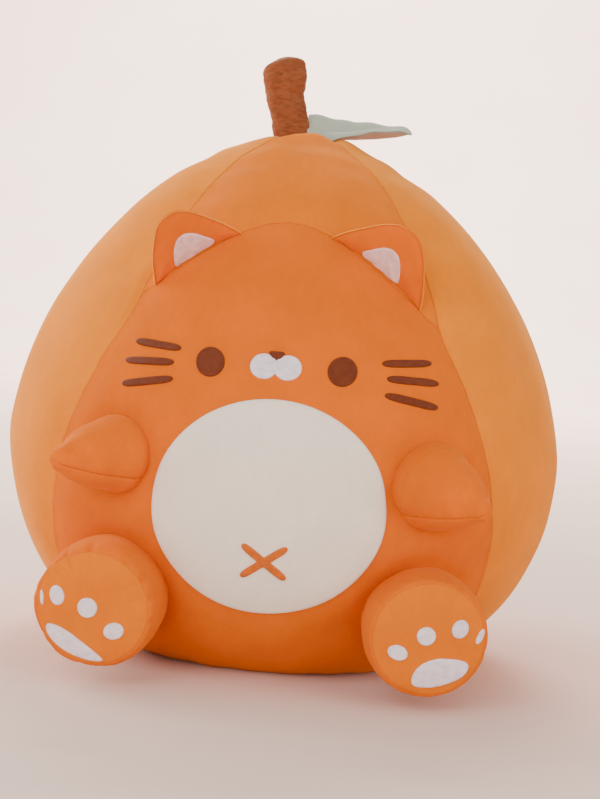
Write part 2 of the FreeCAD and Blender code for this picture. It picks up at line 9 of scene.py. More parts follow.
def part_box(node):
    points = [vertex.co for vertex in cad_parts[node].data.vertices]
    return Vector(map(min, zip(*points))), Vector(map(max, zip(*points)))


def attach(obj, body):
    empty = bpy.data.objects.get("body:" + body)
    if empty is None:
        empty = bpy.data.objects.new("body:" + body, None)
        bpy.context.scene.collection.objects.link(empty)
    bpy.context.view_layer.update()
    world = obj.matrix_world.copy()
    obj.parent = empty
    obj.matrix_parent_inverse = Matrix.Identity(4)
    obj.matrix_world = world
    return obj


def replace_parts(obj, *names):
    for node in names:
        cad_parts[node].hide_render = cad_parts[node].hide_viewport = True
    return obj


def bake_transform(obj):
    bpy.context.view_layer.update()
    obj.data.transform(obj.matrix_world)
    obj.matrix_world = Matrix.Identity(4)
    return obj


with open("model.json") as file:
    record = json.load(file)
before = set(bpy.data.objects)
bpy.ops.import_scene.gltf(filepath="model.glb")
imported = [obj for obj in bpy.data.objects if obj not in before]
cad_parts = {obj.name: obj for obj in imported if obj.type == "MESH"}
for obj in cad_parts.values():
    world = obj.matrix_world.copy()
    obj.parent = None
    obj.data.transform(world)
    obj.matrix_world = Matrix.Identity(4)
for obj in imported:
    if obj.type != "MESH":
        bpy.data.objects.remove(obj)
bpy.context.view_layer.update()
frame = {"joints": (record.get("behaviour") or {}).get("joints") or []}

# A round plush cat with a stem and a leaf on its crown. Shapes are worked out in millimetres and
# become metres when a mesh is made. "left" is the cat's own left, +X; azimuth 0 is its face, -Y.
MM = 0.001
JOINTS = {joint["child"]: joint for joint in frame["joints"]}
SIDES = {"left": 1, "right": -1}

# ---- Body ----
BODY_RADIUS = max(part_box("side_panel_left")[1][0], -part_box("side_panel_right")[0][0]) / MM
BODY_HEIGHT = 410.0
WAIST_Z = 163.0
UPPER_POWERS, LOWER_POWERS = (1.58, 1.83), (2.16, 1.45)
BASE_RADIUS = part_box("base_panel")[1][0] / MM
SEAM_TOP, SEAM_BASE, SEAM_SPREAD_Z, SEAM_POWER = 37.5, 59.0, 260.0, 0.95
BACK_SEAM = 103.0
ARCH_PEAK, ARCH_ROUNDING, ARCH_SHIFT = 335.5, 66.0, -4.0   # the arch sits a little to one side

# ---- Sewing ----
TUCK_DEPTH, TUCK_WIDTH = 1.5, 1.8      # a panel's edge turns in at its seam
VALLEY_DEPTH, VALLEY_WIDTH = 1.7, 14.0  # the filling is held back along a seam
BODY_FABRIC, SOLE_FABRIC, RIBBON_FABRIC = 1.2, 1.0, 0.25
FINE_EDGE = np.array([0, 0.35, 0.9, 1.7, 2.8, 4.5, 7.0, 10.5])   # mesh lines' distances from a seam
MESH_STEP = 4.5


# ---------------------------------------------------------------- shape helpers

def unit(v):
    return v / np.linalg.norm(v, axis=-1, keepdims=True)


def bell(x, width):
    """1 at 0, falling away on both sides."""
    return np.exp(-(x / width) ** 2)


def fading(distance, length):
    """1 at 0, fading away over a length."""
    return np.exp(-distance / length)


def full_turn(count):
    """Angles once round, from 0."""
    return np.linspace(0, 2 * math.pi, count, endpoint=False)


def waves(x, seed, count=6):
    """A smooth irregular wave, about -1 to 1; x counts wavelengths."""
    rng = np.random.default_rng(seed)
    total = np.zeros_like(np.asarray(x, float))
    for frequency, phase in zip(rng.uniform(0.5, 1.7, count), rng.uniform(0, 2 * math.pi, count)):
        total = total + np.sin(2 * math.pi * frequency * x + phase)
    return total / math.sqrt(2 * count)


def round_waves(angle, low, high, seed):
    """The same around a ring: angle in radians, from low to high whole waves a turn."""
    rng = np.random.default_rng(seed)
    total = np.zeros_like(np.asarray(angle, float))
    counts = range(low, high + 1)
    for count in counts:
        total = total + rng.uniform(0.4, 1.0) * np.sin(count * angle + rng.uniform(0, 2 * math.pi))
    return total / math.sqrt(0.6 * len(counts))


def creases(angle, seed, count=15):
    """Fine pinched folds here and there around a ring, from 0 to 1 deep."""
    rng = np.random.default_rng(seed)
    total = np.zeros_like(np.asarray(angle, float))
    for centre in np.arange(count) * 2 * math.pi / count + rng.uniform(-0.16, 0.16, count):
        away = np.abs((angle - centre + math.pi) % (2 * math.pi) - math.pi)
        total = total + rng.uniform(0.15, 1.0) * bell(away, rng.uniform(0.035, 0.07))
    return np.minimum(total, 1.0)


def lumps(points, size, seed, count=9):
    """Smooth lumps in space, about -1 to 1."""
    rng = np.random.default_rng(seed)
    total = np.zeros(points.shape[:-1])
    for _ in range(count):
        direction = unit(rng.normal(size=3)) * rng.uniform(0.6, 1.5) / size
        total = total + np.sin(2 * math.pi * (points @ direction) + rng.uniform(0, 2 * math.pi))
    return total / math.sqrt(count)


def tuck(distance, depth=TUCK_DEPTH, width=TUCK_WIDTH):
    """How far an edge has turned in at a distance from its seam."""
    share = 1 - np.clip(distance / width, 0, 1)
    return -depth * (1 - np.sqrt(np.clip(1 - share ** 2, 0, 1)))


def valley(distance, depth=VALLEY_DEPTH, width=VALLEY_WIDTH):
    """The soft hollow along a seam."""
    return -depth * bell(distance, width)


def smooth(x):
    """Rises from 0 to 1 as x does, level at both ends."""
    x = np.clip(x, 0, 1)
    return x * x * (3 - 2 * x)


def grid_faces(rows, columns, closed=False, offset=0):
    """Quads of a grid of points, rows first. Closed joins the last column to the first."""
    faces = []
    for i in range(rows - 1):
        for j in range(columns if closed else columns - 1):
            k = (j + 1) % columns
            faces.append((offset + i * columns + j, offset + i * columns + k,
                          offset + (i + 1) * columns + k, offset + (i + 1) * columns + j))
    return faces


def run_along(points):
    """Length from the first point of a line to each of its points."""
    return np.concatenate([[0], np.cumsum(np.linalg.norm(np.diff(points, axis=0), axis=1))])


def graded(length, step=MESH_STEP, fine=FINE_EDGE, first=True, last=True):
    """Shares of a length, close together at the ends that are seams."""
    start = fine if first else np.array([0.0])
    end = fine if last else np.array([0.0])
    scale = min(1.0, length / (1.3 * (start[-1] + end[-1]) + 1e-6))
    inner = length - scale * (start[-1] + end[-1])
    count = max(2, int(round(inner / step)))
    middle = scale * start[-1] + inner * np.arange(1, count) / count
    return np.concatenate([scale * start, middle, (length - scale * end)[::-1]]) / length


def tube_faces(rows, columns, last_end=False):
    """Quads of rings of points, closed by one face at the first ring and maybe at the last."""
    faces = grid_faces(rows, columns, closed=True)
    faces.append(tuple(range(columns))[::-1])
    if last_end:
        faces.append(tuple(range((rows - 1) * columns, rows * columns)))
    return faces


def flipped(faces, flip=True):
    return [tuple(reversed(face)) for face in faces] if flip else faces


def plain_mesh(name, points, faces):
    """A smooth mesh object from points in metres."""
    mesh = bpy.data.meshes.new(name)
    mesh.from_pydata([tuple(point) for point in points], [], faces)
    for polygon in mesh.polygons:
        polygon.use_smooth = True
    piece = bpy.data.objects.new(name, mesh)
    bpy.context.scene.collection.objects.link(piece)
    return piece


def make_mesh(name, points, faces, body, slot):
    """A piece from points in millimetres; it rides on a body, unless that is None."""
    piece = plain_mesh(name, np.asarray(points).reshape(-1, 3) * MM, faces)
    piece.data.materials.append(MATERIALS[slot])
    if body:
        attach(piece, body)
    return piece


def thicken(piece, thickness):
    """Give an open skin the thickness of its fabric, inwards."""
    solid = piece.modifiers.new("fabric", "SOLIDIFY")
    solid.thickness = thickness * MM
    solid.offset = -1
    solid.use_even_offset = False
    return piece


# ---------------------------------------------------------------- cloth simulation

CLOTH_FRAMES = 20


def inflate(points, faces, held, pressure, growth, cap):
    """Blow a closed fabric shape up with its held points fixed, and give each point's move.

    Growth is how much larger the cloth was cut, as a share; cap is the longest move in millimetres.
    """
    points = np.asarray(points).reshape(-1, 3)
    piece = plain_mesh("inflating", points * MM, faces)
    group = piece.vertex_groups.new(name="held")
    group.add([int(i) for i in np.nonzero(held)[0]], 1.0, "REPLACE")
    cloth = piece.modifiers.new("cloth", "CLOTH")
    settings = cloth.settings
    settings.quality = 6
    settings.mass = 0.25
    settings.tension_stiffness = 12
    settings.compression_stiffness = 8
    settings.shear_stiffness = 4
    settings.bending_stiffness = 0.15
    settings.vertex_group_mass = "held"
    settings.use_pressure = True
    settings.uniform_pressure_force = pressure
    settings.shrink_min = -growth
    settings.effector_weights.gravity = 0
    cloth.collision_settings.use_collision = False
    cloth.point_cache.frame_start = 1
    cloth.point_cache.frame_end = CLOTH_FRAMES
    for number in range(1, CLOTH_FRAMES + 1):
        bpy.context.scene.frame_set(number)
    done = piece.evaluated_get(bpy.context.evaluated_depsgraph_get())
    moved = np.array([vertex.co for vertex in done.data.vertices]) / MM
    bpy.data.meshes.remove(piece.data)
    bpy.context.scene.frame_set(1)
    move = moved - points
    size = np.linalg.norm(move, axis=1, keepdims=True)
    return move * np.minimum(1, cap / np.maximum(size, 1e-9))


class MoveField:
    """Carries the moves of a simulated coarse mesh over to any point near it."""

    def __init__(self, points, moves):
        points = np.asarray(points).reshape(-1, 3)
        self.moves = moves
        self.still = not np.abs(moves).max() > 1e-6
        self.tree = kdtree.KDTree(len(points))
        for index, point in enumerate(points):
            self.tree.insert(point, index)
        self.tree.balance()

    def at(self, points, reach):
        """Moves at points, as a smooth average of the simulated ones within reach."""
        flat = np.asarray(points).reshape(-1, 3)
        if self.still:
            return np.zeros_like(np.asarray(points))
        result = np.zeros_like(flat)
        for row, point in enumerate(flat):
            found = self.tree.find_range(point, reach) or self.tree.find_n(point, 3)
            weight = np.array([math.exp(-2.5 * (f[2] / reach) ** 2) for f in found])
            result[row] = weight @ self.moves[[f[1] for f in found]] / weight.sum()
        return result.reshape(np.asarray(points).shape)


# ---------------------------------------------------------------- materials

def set_inputs(shader, **values):
    """Set a shader node's inputs; keys are their names, with _ for a space."""
    for key, value in values.items():
        shader.inputs[key.replace("_", " ")].default_value = value
    return shader


def node(tree, kind, **values):
    return set_inputs(tree.nodes.new(kind), **values)


def ramp_between(tree, factor, low, high, dark, light):
    """A colour that goes from dark to light as factor goes from low to high."""
    ramp = tree.nodes.new("ShaderNodeValToRGB")
    ramp.color_ramp.elements[0].position = low
    ramp.color_ramp.elements[1].position = high
    ramp.color_ramp.elements[0].color = (*dark, 1)
    ramp.color_ramp.elements[1].color = (*light, 1)
    tree.links.new(factor, ramp.inputs["Fac"])
    return ramp.outputs["Color"]


def multiply(tree, first, second, share):
    mix = tree.nodes.new("ShaderNodeMix")
    mix.data_type = "RGBA"
    mix.blend_type = "MULTIPLY"
    mix.inputs["Factor"].default_value = share
    tree.links.new(first, mix.inputs["A"])
    tree.links.new(second, mix.inputs["B"])
    return mix.outputs["Result"]


MATERIALS = {}


def new_material(name):
    """Start a material and keep it by name; gives its node tree, its shader and a place to texture by."""
    material = bpy.data.materials.new(name)
    material.use_nodes = True
    MATERIALS[name] = material
    tree = material.node_tree
    return tree, tree.nodes["Principled BSDF"], tree.nodes.new("ShaderNodeTexCoord").outputs["Object"]


def mapped(tree, place, **values):
    """A place turned or stretched before it reaches a texture."""
    mapping = node(tree, "ShaderNodeMapping", **values)
    tree.links.new(place, mapping.inputs["Vector"])
    return mapping.outputs["Vector"]


def noise_of(tree, place, scale, detail=2.0, roughness=0.5, stretch=None):
    """Noise in object space; scale counts features to the metre."""
    if stretch:
        place = mapped(tree, place, Scale=stretch)
    noise = node(tree, "ShaderNodeTexNoise", Scale=scale, Detail=detail, Roughness=roughness)
    tree.links.new(place, noise.inputs["Vector"])
    return noise.outputs["Fac"]


def bump_chain(tree, shader, heights):
    """Bumps one on another: each height with its strength and depth in millimetres."""
    normal = None
    for height, strength, depth in heights:
        bump = node(tree, "ShaderNodeBump", Strength=strength, Distance=depth * MM)
        tree.links.new(height, bump.inputs["Height"])
        if normal:
            tree.links.new(normal, bump.inputs["Normal"])
        normal = bump.outputs["Normal"]
    tree.links.new(normal, shader.inputs["Normal"])


def rough_between(tree, shader, factor, low, high):
    """Roughness that goes from low to high with factor."""
    rough = node(tree, "ShaderNodeMapRange", To_Min=low, To_Max=high)
    tree.links.new(factor, rough.inputs["Value"])
    tree.links.new(rough.outputs["Result"], shader.inputs["Roughness"])


def tinted(color, factor):
    return tuple(min(1.0, channel * factor) for channel in color)


def plush(name, color, sheen, nap=0.5, mottle=0.06, glow=0.1, streaks=(1, 1, 0.35), contrast=0.10):
    """Short-pile velour: soft mottling where the nap is brushed, fine fibres and a soft sheen."""
    tree, shader, place = new_material(name)
    broad = ramp_between(tree, noise_of(tree, place, 26, 3), 0.3, 0.7,
                         tinted(color, 1 - mottle), tinted(color, 1 + mottle))
    brushed = ramp_between(tree, noise_of(tree, place, 150, 3, 0.6, streaks), 0.3, 0.72,
                           (1 - contrast,) * 3, (1, 1, 1))
    fibre = ramp_between(tree, noise_of(tree, place, 1500, 2, 0.7), 0.25, 0.7,
                         (0.9 - contrast / 2,) * 3, (1, 1, 1))
    mixed = multiply(tree, multiply(tree, broad, brushed, nap), fibre, 0.8)
    tree.links.new(mixed, shader.inputs["Base Color"])
    rough_between(tree, shader, noise_of(tree, place, 420, 2), 0.82, 0.98)
    set_inputs(shader, Specular_IOR_Level=0.10, Sheen_Weight=0.28, Sheen_Roughness=0.42,
               Sheen_Tint=(*sheen, 1), Subsurface_Weight=glow, Subsurface_Radius=(1.0, 0.45, 0.2),
               Subsurface_Scale=0.006)
    bump_chain(tree, shader, [(noise_of(tree, place, 60, 3), 0.12, 1.2),
                              (noise_of(tree, place, 320, 3, 0.65), 0.25, 0.5),
                              (noise_of(tree, place, 1700, 2, 0.7), 0.5, 0.25)])


def thread(name, color, sheen, angle=90.0, pitch=0.75):
    """Satin stitch: close parallel threads, seen as fine ridges across the shape."""
    tree, shader, place = new_material(name)
    wave = node(tree, "ShaderNodeTexWave", Scale=1 / (pitch * MM) / (2 * math.pi) * 2,
                Distortion=1.2, Detail=2.0, Detail_Scale=3.0)
    wave.bands_direction = "X"
    tree.links.new(mapped(tree, place, Rotation=(0, math.radians(angle), 0)), wave.inputs["Vector"])
    # darker in the grooves between the threads, following the bump: painted shade
    lines = ramp_between(tree, wave.outputs["Fac"], 0.0, 0.7, (0.62, 0.58, 0.56), (1, 1, 1))
    base = ramp_between(tree, noise_of(tree, place, 240, 3), 0.3, 0.7, tinted(color, 0.86),
                        tinted(color, 1.12))
    tree.links.new(multiply(tree, base, lines, 0.55), shader.inputs["Base Color"])
    rough_between(tree, shader, wave.outputs["Fac"], 0.42, 0.62)
    set_inputs(shader, Specular_IOR_Level=0.18, Sheen_Weight=0.05, Sheen_Tint=(*sheen, 1))
    bump_chain(tree, shader, [(wave.outputs["Fac"], 0.6, 0.3),
                              (noise_of(tree, place, 1300, 2), 0.3, 0.15)])


def ribbon():
    """A woven satin ribbon, bare on both faces."""
    tree, shader, place = new_material("ribbon")
    weave = node(tree, "ShaderNodeTexWave", Scale=420, Distortion=0.4, Detail=1.0)
    weave.bands_direction = "Z"
    tree.links.new(place, weave.inputs["Vector"])
    # darker in the low parts of the weave, following the bump: painted shade
    color = ramp_between(tree, weave.outputs["Fac"], 0.1, 0.9, (0.74, 0.72, 0.70), (0.88, 0.87, 0.85))
    tree.links.new(color, shader.inputs["Base Color"])
    set_inputs(shader, Roughness=0.4, Sheen_Weight=0.2)
    bump_chain(tree, shader, [(weave.outputs["Fac"], 0.4, 0.15)])


def materials():
    """Every finish, with its colour and the colour of its sheen; some of these colours hold painted light, as
    said at each.
    """
    plush("deep_orange_plush", (0.72, 0.136, 0.0), (1.0, 0.36, 0.05))
    # a little lighter and yellower than the face's fabric; on the forehead that difference is painted light
    # falling from above
    plush("light_orange_plush", (0.75, 0.166, 0.0), (1.0, 0.45, 0.08))
    # the face's orange fabric painted paler and yellower: painted rim light and sheen of the sides, used as
    # well on the back panels and the ears' backs
    plush("pale_orange_plush", (0.83, 0.222, 0.001), (1.0, 0.60, 0.20), glow=0.14)
    # grey-white belly fabric, partly its own colour; its warm tint is painted warm light bounced onto it
    plush("grey_white_plush", (0.90, 0.79, 0.67), (1, 0.95, 0.9), mottle=0.03)
    plush("brown_plush", (0.33, 0.098, 0.036), (0.9, 0.5, 0.3), nap=1.0, mottle=0.2, streaks=(1, 1, 3.2),
          contrast=0.42)
    plush("pale_green_plush", (0.42, 0.47, 0.38), (0.95, 1, 0.95), mottle=0.05)
    # the leaf's underside: a darker grey-pink that is painted shade with orange light bounced up from the
    # body
    plush("grey_pink_plush", (0.42, 0.36, 0.31), (1, 0.9, 0.86))
    thread("brown_thread", (0.15, 0.031, 0.009), (0.8, 0.4, 0.3))
    thread("lilac_thread", (0.86, 0.76, 0.83), (1, 1, 1), pitch=0.9)
    thread("pink_thread", (0.86, 0.57, 0.56), (1, 0.92, 0.92))
    thread("orange_thread", (0.62, 0.13, 0.01), (1, 0.7, 0.5), angle=40)
    ribbon()


# ---------------------------------------------------------------- the body's surface

def rounded(share, first, second):
    """A quarter of an oval: 1 at the waist, 0 at the end, its roundness set by two powers."""
    return np.clip(1 - share ** first, 0, 1) ** (1 / second)


def body_radius(z):
    """Radius of the round body at height z."""
    z = np.asarray(z, float)
    above = np.clip((z - WAIST_Z) / (BODY_HEIGHT - WAIST_Z), 0, 1)
    below = np.clip((WAIST_Z - z) / WAIST_Z, 0, 1)
    upper = BODY_RADIUS * rounded(above, *UPPER_POWERS)
    lower = BASE_RADIUS + (BODY_RADIUS - BASE_RADIUS) * rounded(below, *LOWER_POWERS)
    return np.where(z >= WAIST_Z, upper, lower)


def meridian():
    """Length along the body's side from the underside's edge to the crown, with radius and height."""
    share = np.sin(np.linspace(0, math.pi / 2, 500))
    z = np.concatenate([WAIST_Z * (1 - share[::-1]), WAIST_Z + (BODY_HEIGHT - WAIST_Z) * share[1:]])
    r = body_radius(z)
    return np.concatenate([[0], np.cumsum(np.hypot(np.diff(r), np.diff(z)))]), r, z


RUN, RUN_R, RUN_Z = meridian()
CROWN = RUN[-1]


def seam_azimuth(z):
    share = np.clip((SEAM_SPREAD_Z - np.asarray(z)) / SEAM_SPREAD_Z, 0, 1)
    return SEAM_TOP + (SEAM_BASE - SEAM_TOP) * share ** SEAM_POWER


def arch_z(x):
    return ARCH_PEAK + ARCH_ROUNDING - np.hypot(ARCH_ROUNDING, x - ARCH_SHIFT)


def hinge_place(body):
    return np.array(JOINTS[body]["pos_m"]) / MM


ARM_RADIUS = {"left": 31.0, "right": 27.5}
LEG_RADIUS, TAIL_RADIUS = 42.0, 20.0
LIMB_RADII = {"arm_left": ARM_RADIUS["left"], "arm_right": ARM_RADIUS["right"], "leg_left": LEG_RADIUS,
              "leg_right": LEG_RADIUS, "tail": TAIL_RADIUS}
RING_SEAMS = [(hinge_place(body), radius) for body, radius in LIMB_RADII.items()]
BELLY_Z, BELLY_HALF_X, BELLY_HALF_Z = 134.5, 82.0, 76.0
ARCH_SEED = 14


def body_base(azimuth, run):
    """Point and outward normal of the plain round body."""
    r, z = np.interp(run, RUN, RUN_R), np.interp(run, RUN, RUN_Z)
    ahead, behind = np.clip(run + 2, 0, CROWN), np.clip(run - 2, 0, CROWN)
    dr = np.interp(ahead, RUN, RUN_R) - np.interp(behind, RUN, RUN_R)
    dz = np.interp(ahead, RUN, RUN_Z) - np.interp(behind, RUN, RUN_Z)
    a = np.radians(azimuth)
    point = np.stack([r * np.sin(a), -r * np.cos(a), z], -1)
    normal = unit(np.stack([dz * np.sin(a), -dz * np.cos(a), -dr], -1))
    return point, normal


def seam_distances(azimuth, point):
    """For each seam: how far a point lies from it, a length that runs along it, and its seed."""
    x, z = point[..., 0], point[..., 2]
    r = np.hypot(x, point[..., 1])
    size = np.abs(azimuth)
    to_mm = math.radians(1) * r
    front = np.abs(size - seam_azimuth(z)) * to_mm * 0.93
    back = np.abs(size - BACK_SEAM) * to_mm
    middle_back = (180 - size) * to_mm
    slope = (x - ARCH_SHIFT) / np.hypot(ARCH_ROUNDING, x - ARCH_SHIFT)
    arch = np.abs(z - arch_z(x)) / np.hypot(1, slope) * 1.2
    arch = np.where(size > seam_azimuth(z) + 1, 99.0, np.where(point[..., 1] < 0, arch, 99.0))
    return [(front, z, 11), (back, z, 12), (middle_back, z, 13), (arch, x, ARCH_SEED)]


def body_relief(azimuth, run, point):
    """How far the stuffed cover stands in or out of the plain round body."""
    r = np.hypot(point[..., 0], point[..., 1])
    high = np.interp(run, RUN, RUN_Z)
    top = high > WAIST_Z
    relief = 0.9 * lumps(point, 150, 3) + 0.35 * lumps(point, 60, 4)
    # each seam pulls in and puckers; those that meet at the crown pull in more there
    deeper = np.where(top, 5.0 * bell(r - 20, 15), 0)
    for distance, along, seed in seam_distances(azimuth, point):
        relief += valley(distance)
        if seed != ARCH_SEED:
            relief += valley(distance, deeper, 7)
        relief += 0.45 * fading(distance, 9) * waves(along / 13, seed)
    # the cover is held at the limbs' and the patch's seams
    for centre, radius in RING_SEAMS:
        ring = np.abs(np.linalg.norm(point - centre, axis=-1) - radius)
        relief += valley(ring, 2.2, 8)
    belly = np.hypot(point[..., 0] / BELLY_HALF_X, (high - BELLY_Z) / BELLY_HALF_Z)
    ring = np.where(point[..., 1] < 0, np.abs(belly - 1) * BELLY_HALF_Z, 99)
    relief += valley(ring, 1.0, 7)
    # the crown: a hollow for the stem, a crest in front of it and gathers around it
    a = np.radians(azimuth)
    relief += np.where(top, valley(r, 7.5, 21), 0)
    crest = bell(r - 30, 17) * np.clip(np.cos(a - 0.15), 0, 1)
    relief += np.where(top, 5.5 * crest, 0)
    gathers = bell(r - 24, 20) * round_waves(a, 5, 13, 21)
    relief += np.where(top, 1.5 * gathers, 0)
    # small gathers where the cover turns under
    return relief + 0.35 * bell(run, 25) * round_waves(a, 10, 26, 22)


BODY_FIELD = None      # the simulated moves of the body's cover, once they are known


def body_skin(azimuth, run, extra=0.0):
    """Points of the stuffed cover, never below the floor."""
    azimuth, run = np.broadcast_arrays(np.asarray(azimuth, float), np.asarray(run, float))
    point, normal = body_base(azimuth, run)
    shown = point + normal * (body_relief(azimuth, run, point) + extra)[..., None]
    if BODY_FIELD:
        shown = shown + BODY_FIELD.at(point, 16.0)
    shown[..., 2] = np.maximum(shown[..., 2], 0.4)
    return shown


def simulate_body():
    """Blow up the whole cover once, held at its seams, for the way that it swells between them."""
    rows, columns = 52, 120
    run = CROWN * np.linspace(0.0, 0.985, rows)
    azimuth = np.linspace(-180, 180, columns, endpoint=False)
    points, _ = body_base(azimuth[None, :], run[:, None] + 0 * azimuth[None, :])
    grid = np.broadcast_to(azimuth[None, :], points.shape[:2])
    held = np.zeros(points.shape[:2], bool)
    for distance, _, _ in seam_distances(grid, points):
        held |= distance < 5.5
    for centre, radius in RING_SEAMS:
        held |= np.linalg.norm(points - centre, axis=-1) < radius + 2
    held[:3] = True
    held[-6:] = True
    faces = tube_faces(rows, columns, last_end=True)
    return MoveField(points, inflate(points, faces, held.ravel(), pressure=1.2, growth=0.01, cap=4.0))


# ---------------------------------------------------------------- body panels

def panel(name, first, last, start, end, slot, base_seam=True, top_seam=False):
    """One sewn panel between two side seams (azimuths by height) and two ends (runs by share)."""
    width = BODY_RADIUS * math.radians(abs(last(WAIST_Z) - first(WAIST_Z)))
    columns = graded(width)
    low = np.array([start(share) for share in columns])
    high = np.array([end(share) for share in columns])
    rows = graded(float(np.mean(high - low)), first=base_seam, last=top_seam)
    run = low[None, :] + (high - low)[None, :] * rows[:, None]
    z = np.interp(run, RUN, RUN_Z)
    r = np.interp(run, RUN, RUN_R)
    local = np.maximum(r * np.radians(last(z) - first(z)), 0.05)
    # keep the fine spacing at both edges where the panel is narrower
    near = np.minimum(columns, 1 - columns)[None, :] * width
    squeeze = np.minimum(1, local / width)
    edge = FINE_EDGE[-1]
    inner = (near - edge) / (width / 2 - edge)
    reach = np.minimum(edge, local / 2.6)
    distance = np.where(near <= edge, near * reach / edge, reach + inner * (local / 2 - reach))
    share = np.where(columns[None, :] < 0.5, distance / local, 1 - distance / local)
    azimuth = first(z) + (last(z) - first(z)) * share
    relief = tuck(distance) * np.minimum(1, squeeze * 4)
    if base_seam:
        relief = np.minimum(relief, tuck(run - low[None, :]))
    if top_seam:
        relief = np.minimum(relief, tuck((high[None, :] - run) * 0.9))
    points = body_skin(azimuth, run, relief)
    piece = make_mesh(name, points, grid_faces(*points.shape[:2]), "torso", slot)
    return thicken(piece, BODY_FABRIC)


def arch_run(share):
    """Where the forehead seam crosses the column at a share of the front's width."""
    low, high = 0.3 * CROWN, 0.98 * CROWN
    for _ in range(40):
        middle = (low + high) / 2
        z = float(np.interp(middle, RUN, RUN_Z))
        half = float(seam_azimuth(z))
        azimuth = math.radians(-half + 2 * half * share)
        x = float(np.interp(middle, RUN, RUN_R)) * math.sin(azimuth)
        if z < arch_z(x):
            low = middle
        else:
            high = middle
    return (low + high) / 2


def straight_seam(azimuth):
    """A seam at one azimuth at every height."""
    return lambda z: azimuth + 0 * z


def body_panels():
    """The whole cover, panel by panel."""
    crown = CROWN - 0.6
    front = (lambda z: -seam_azimuth(z), lambda z: seam_azimuth(z))
    face = panel("face_skin", *front, lambda s: 0.0, arch_run, "deep_orange_plush", top_seam=True)
    # the forehead's lighter orange is painted light from above on the same fabric as the face
    forehead = panel("forehead_skin", *front, arch_run, lambda s: crown, "light_orange_plush")
    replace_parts(face, "face_panel", "body_stuffing")
    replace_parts(forehead, "forehead_panel")
    # the side and back panels take the paler orange: the face's fabric with rim light and sheen painted into
    # its colour
    spans = {"side_panel_left": (seam_azimuth, straight_seam(BACK_SEAM)),
             "side_panel_right": (straight_seam(-BACK_SEAM), lambda z: -seam_azimuth(z)),
             "back_panel_left": (straight_seam(BACK_SEAM), straight_seam(180.0)),
             "back_panel_right": (straight_seam(-180.0), straight_seam(-BACK_SEAM))}
    for name, (first, last) in spans.items():
        skin = panel(name.replace("panel", "skin"), first, last, lambda s: 0.0, lambda s: crown,
                     "pale_orange_plush")
        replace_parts(skin, name)
    base_skin()


def base_skin():
    """The round underside, flat where it stands and turned up into its seam."""
    rings = np.concatenate([[0.02], np.linspace(0.08, 0.9, 16), 1 - FINE_EDGE[::-1][1:] / BASE_RADIUS])
    angle = np.radians(np.linspace(0, 360, 120, endpoint=False))
    r = (rings * (BASE_RADIUS + 0.3))[:, None]
    z = 0.25 + 0 * r * angle[None, :]
    edge = BASE_RADIUS + 0.3 - r
    z = z + 1.6 * fading(edge, 6) + 0.25 * (1 + waves(r / 40 + angle[None, :], 31)) * fading(edge, 30)
    z = z - tuck(edge, 2.0)
    points = np.stack([r * np.sin(angle), -r * np.cos(angle), z], -1)
    piece = make_mesh("base_skin", points, tube_faces(len(rings), len(angle)), "torso", "deep_orange_plush")
    thicken(piece, BODY_FABRIC)
    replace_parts(piece, "base_panel")
    return piece


# ---------------------------------------------------------------- patches and embroidery

def oval_outline(x, z, half_x, half_z, count=96):
    a = full_turn(count)
    return np.stack([x + half_x * np.cos(a), z + half_z * np.sin(a)], -1)


def stroke_outline(start, end, width, pointed=0.0):
    """A stroke whose two ends are round, or drawn out by a share of its half length."""
    a, b = np.array(start, float), np.array(end, float)
    along = unit(b - a)
    across = np.array([-along[1], along[0]])
    length = np.linalg.norm(b - a)
    turn = full_turn(60)
    power = 2 * width / length + pointed
    reach = np.sign(np.cos(turn)) * np.abs(np.cos(turn)) ** power * length / 2
    side = np.sign(np.sin(turn)) * np.abs(np.sin(turn)) ** 0.9 * width / 2
    outline = (a + b) / 2 + reach[:, None] * along + side[:, None] * across
    return densify(outline, 0.7)


def densify(outline, step):
    """A closed outline with points a step apart."""
    closed = np.concatenate([outline, outline[:1]])
    run = run_along(closed)
    at = np.linspace(0, run[-1], max(24, int(run[-1] / step)), endpoint=False)
    return np.stack([np.interp(at, run, closed[:, 0]), np.interp(at, run, closed[:, 1])], -1)


def smooth_outline(corners):
    """A closed round curve inside a few corners, which touches the middle of each side."""
    corners = np.array(corners, float)
    points = []
    for index in range(len(corners)):
        before, here, after = corners[index - 1], corners[index], corners[(index + 1) % len(corners)]
        first, last = (before + here) / 2, (here + after) / 2
        for t in np.linspace(0, 1, max(4, 90 // len(corners)), endpoint=False):
            points.append((1 - t) ** 2 * first + 2 * t * (1 - t) * here + t * t * last)
    return np.array(points)


def edge_distance(points, outline):
    """Distance from each point to a closed outline."""
    a = outline
    b = np.roll(outline, -1, axis=0)
    ab = b - a
    ap = points[..., None, :] - a
    t = np.clip((ap * ab).sum(-1) / np.maximum((ab * ab).sum(-1), 1e-9), 0, 1)
    return np.linalg.norm(ap - t[..., None] * ab, axis=-1).min(-1)


def raised_grid(outline, height, edge, rings=10, border=0.0):
    """Rings of places from the middle of an outline to its edge, with the height at each."""
    centre = outline.mean(axis=0)
    share = 1 - (1 - np.linspace(0, 1, rings + 1)[1:]) ** 1.7
    places = centre + share[:, None, None] * (outline - centre)[None]
    places = np.concatenate([places, places[-1:]])
    distance = edge_distance(places, outline)
    lift = height * np.sqrt(np.clip(1 - (1 - np.clip(distance / edge, 0, 1)) ** 2, 0, 1))
    if border:
        lift -= 0.35 * height * bell(distance - border, 0.5)
    lift[-2] = np.minimum(lift[-2], 0.25 * height)
    lift[-1] = -0.8
    return centre, places, lift


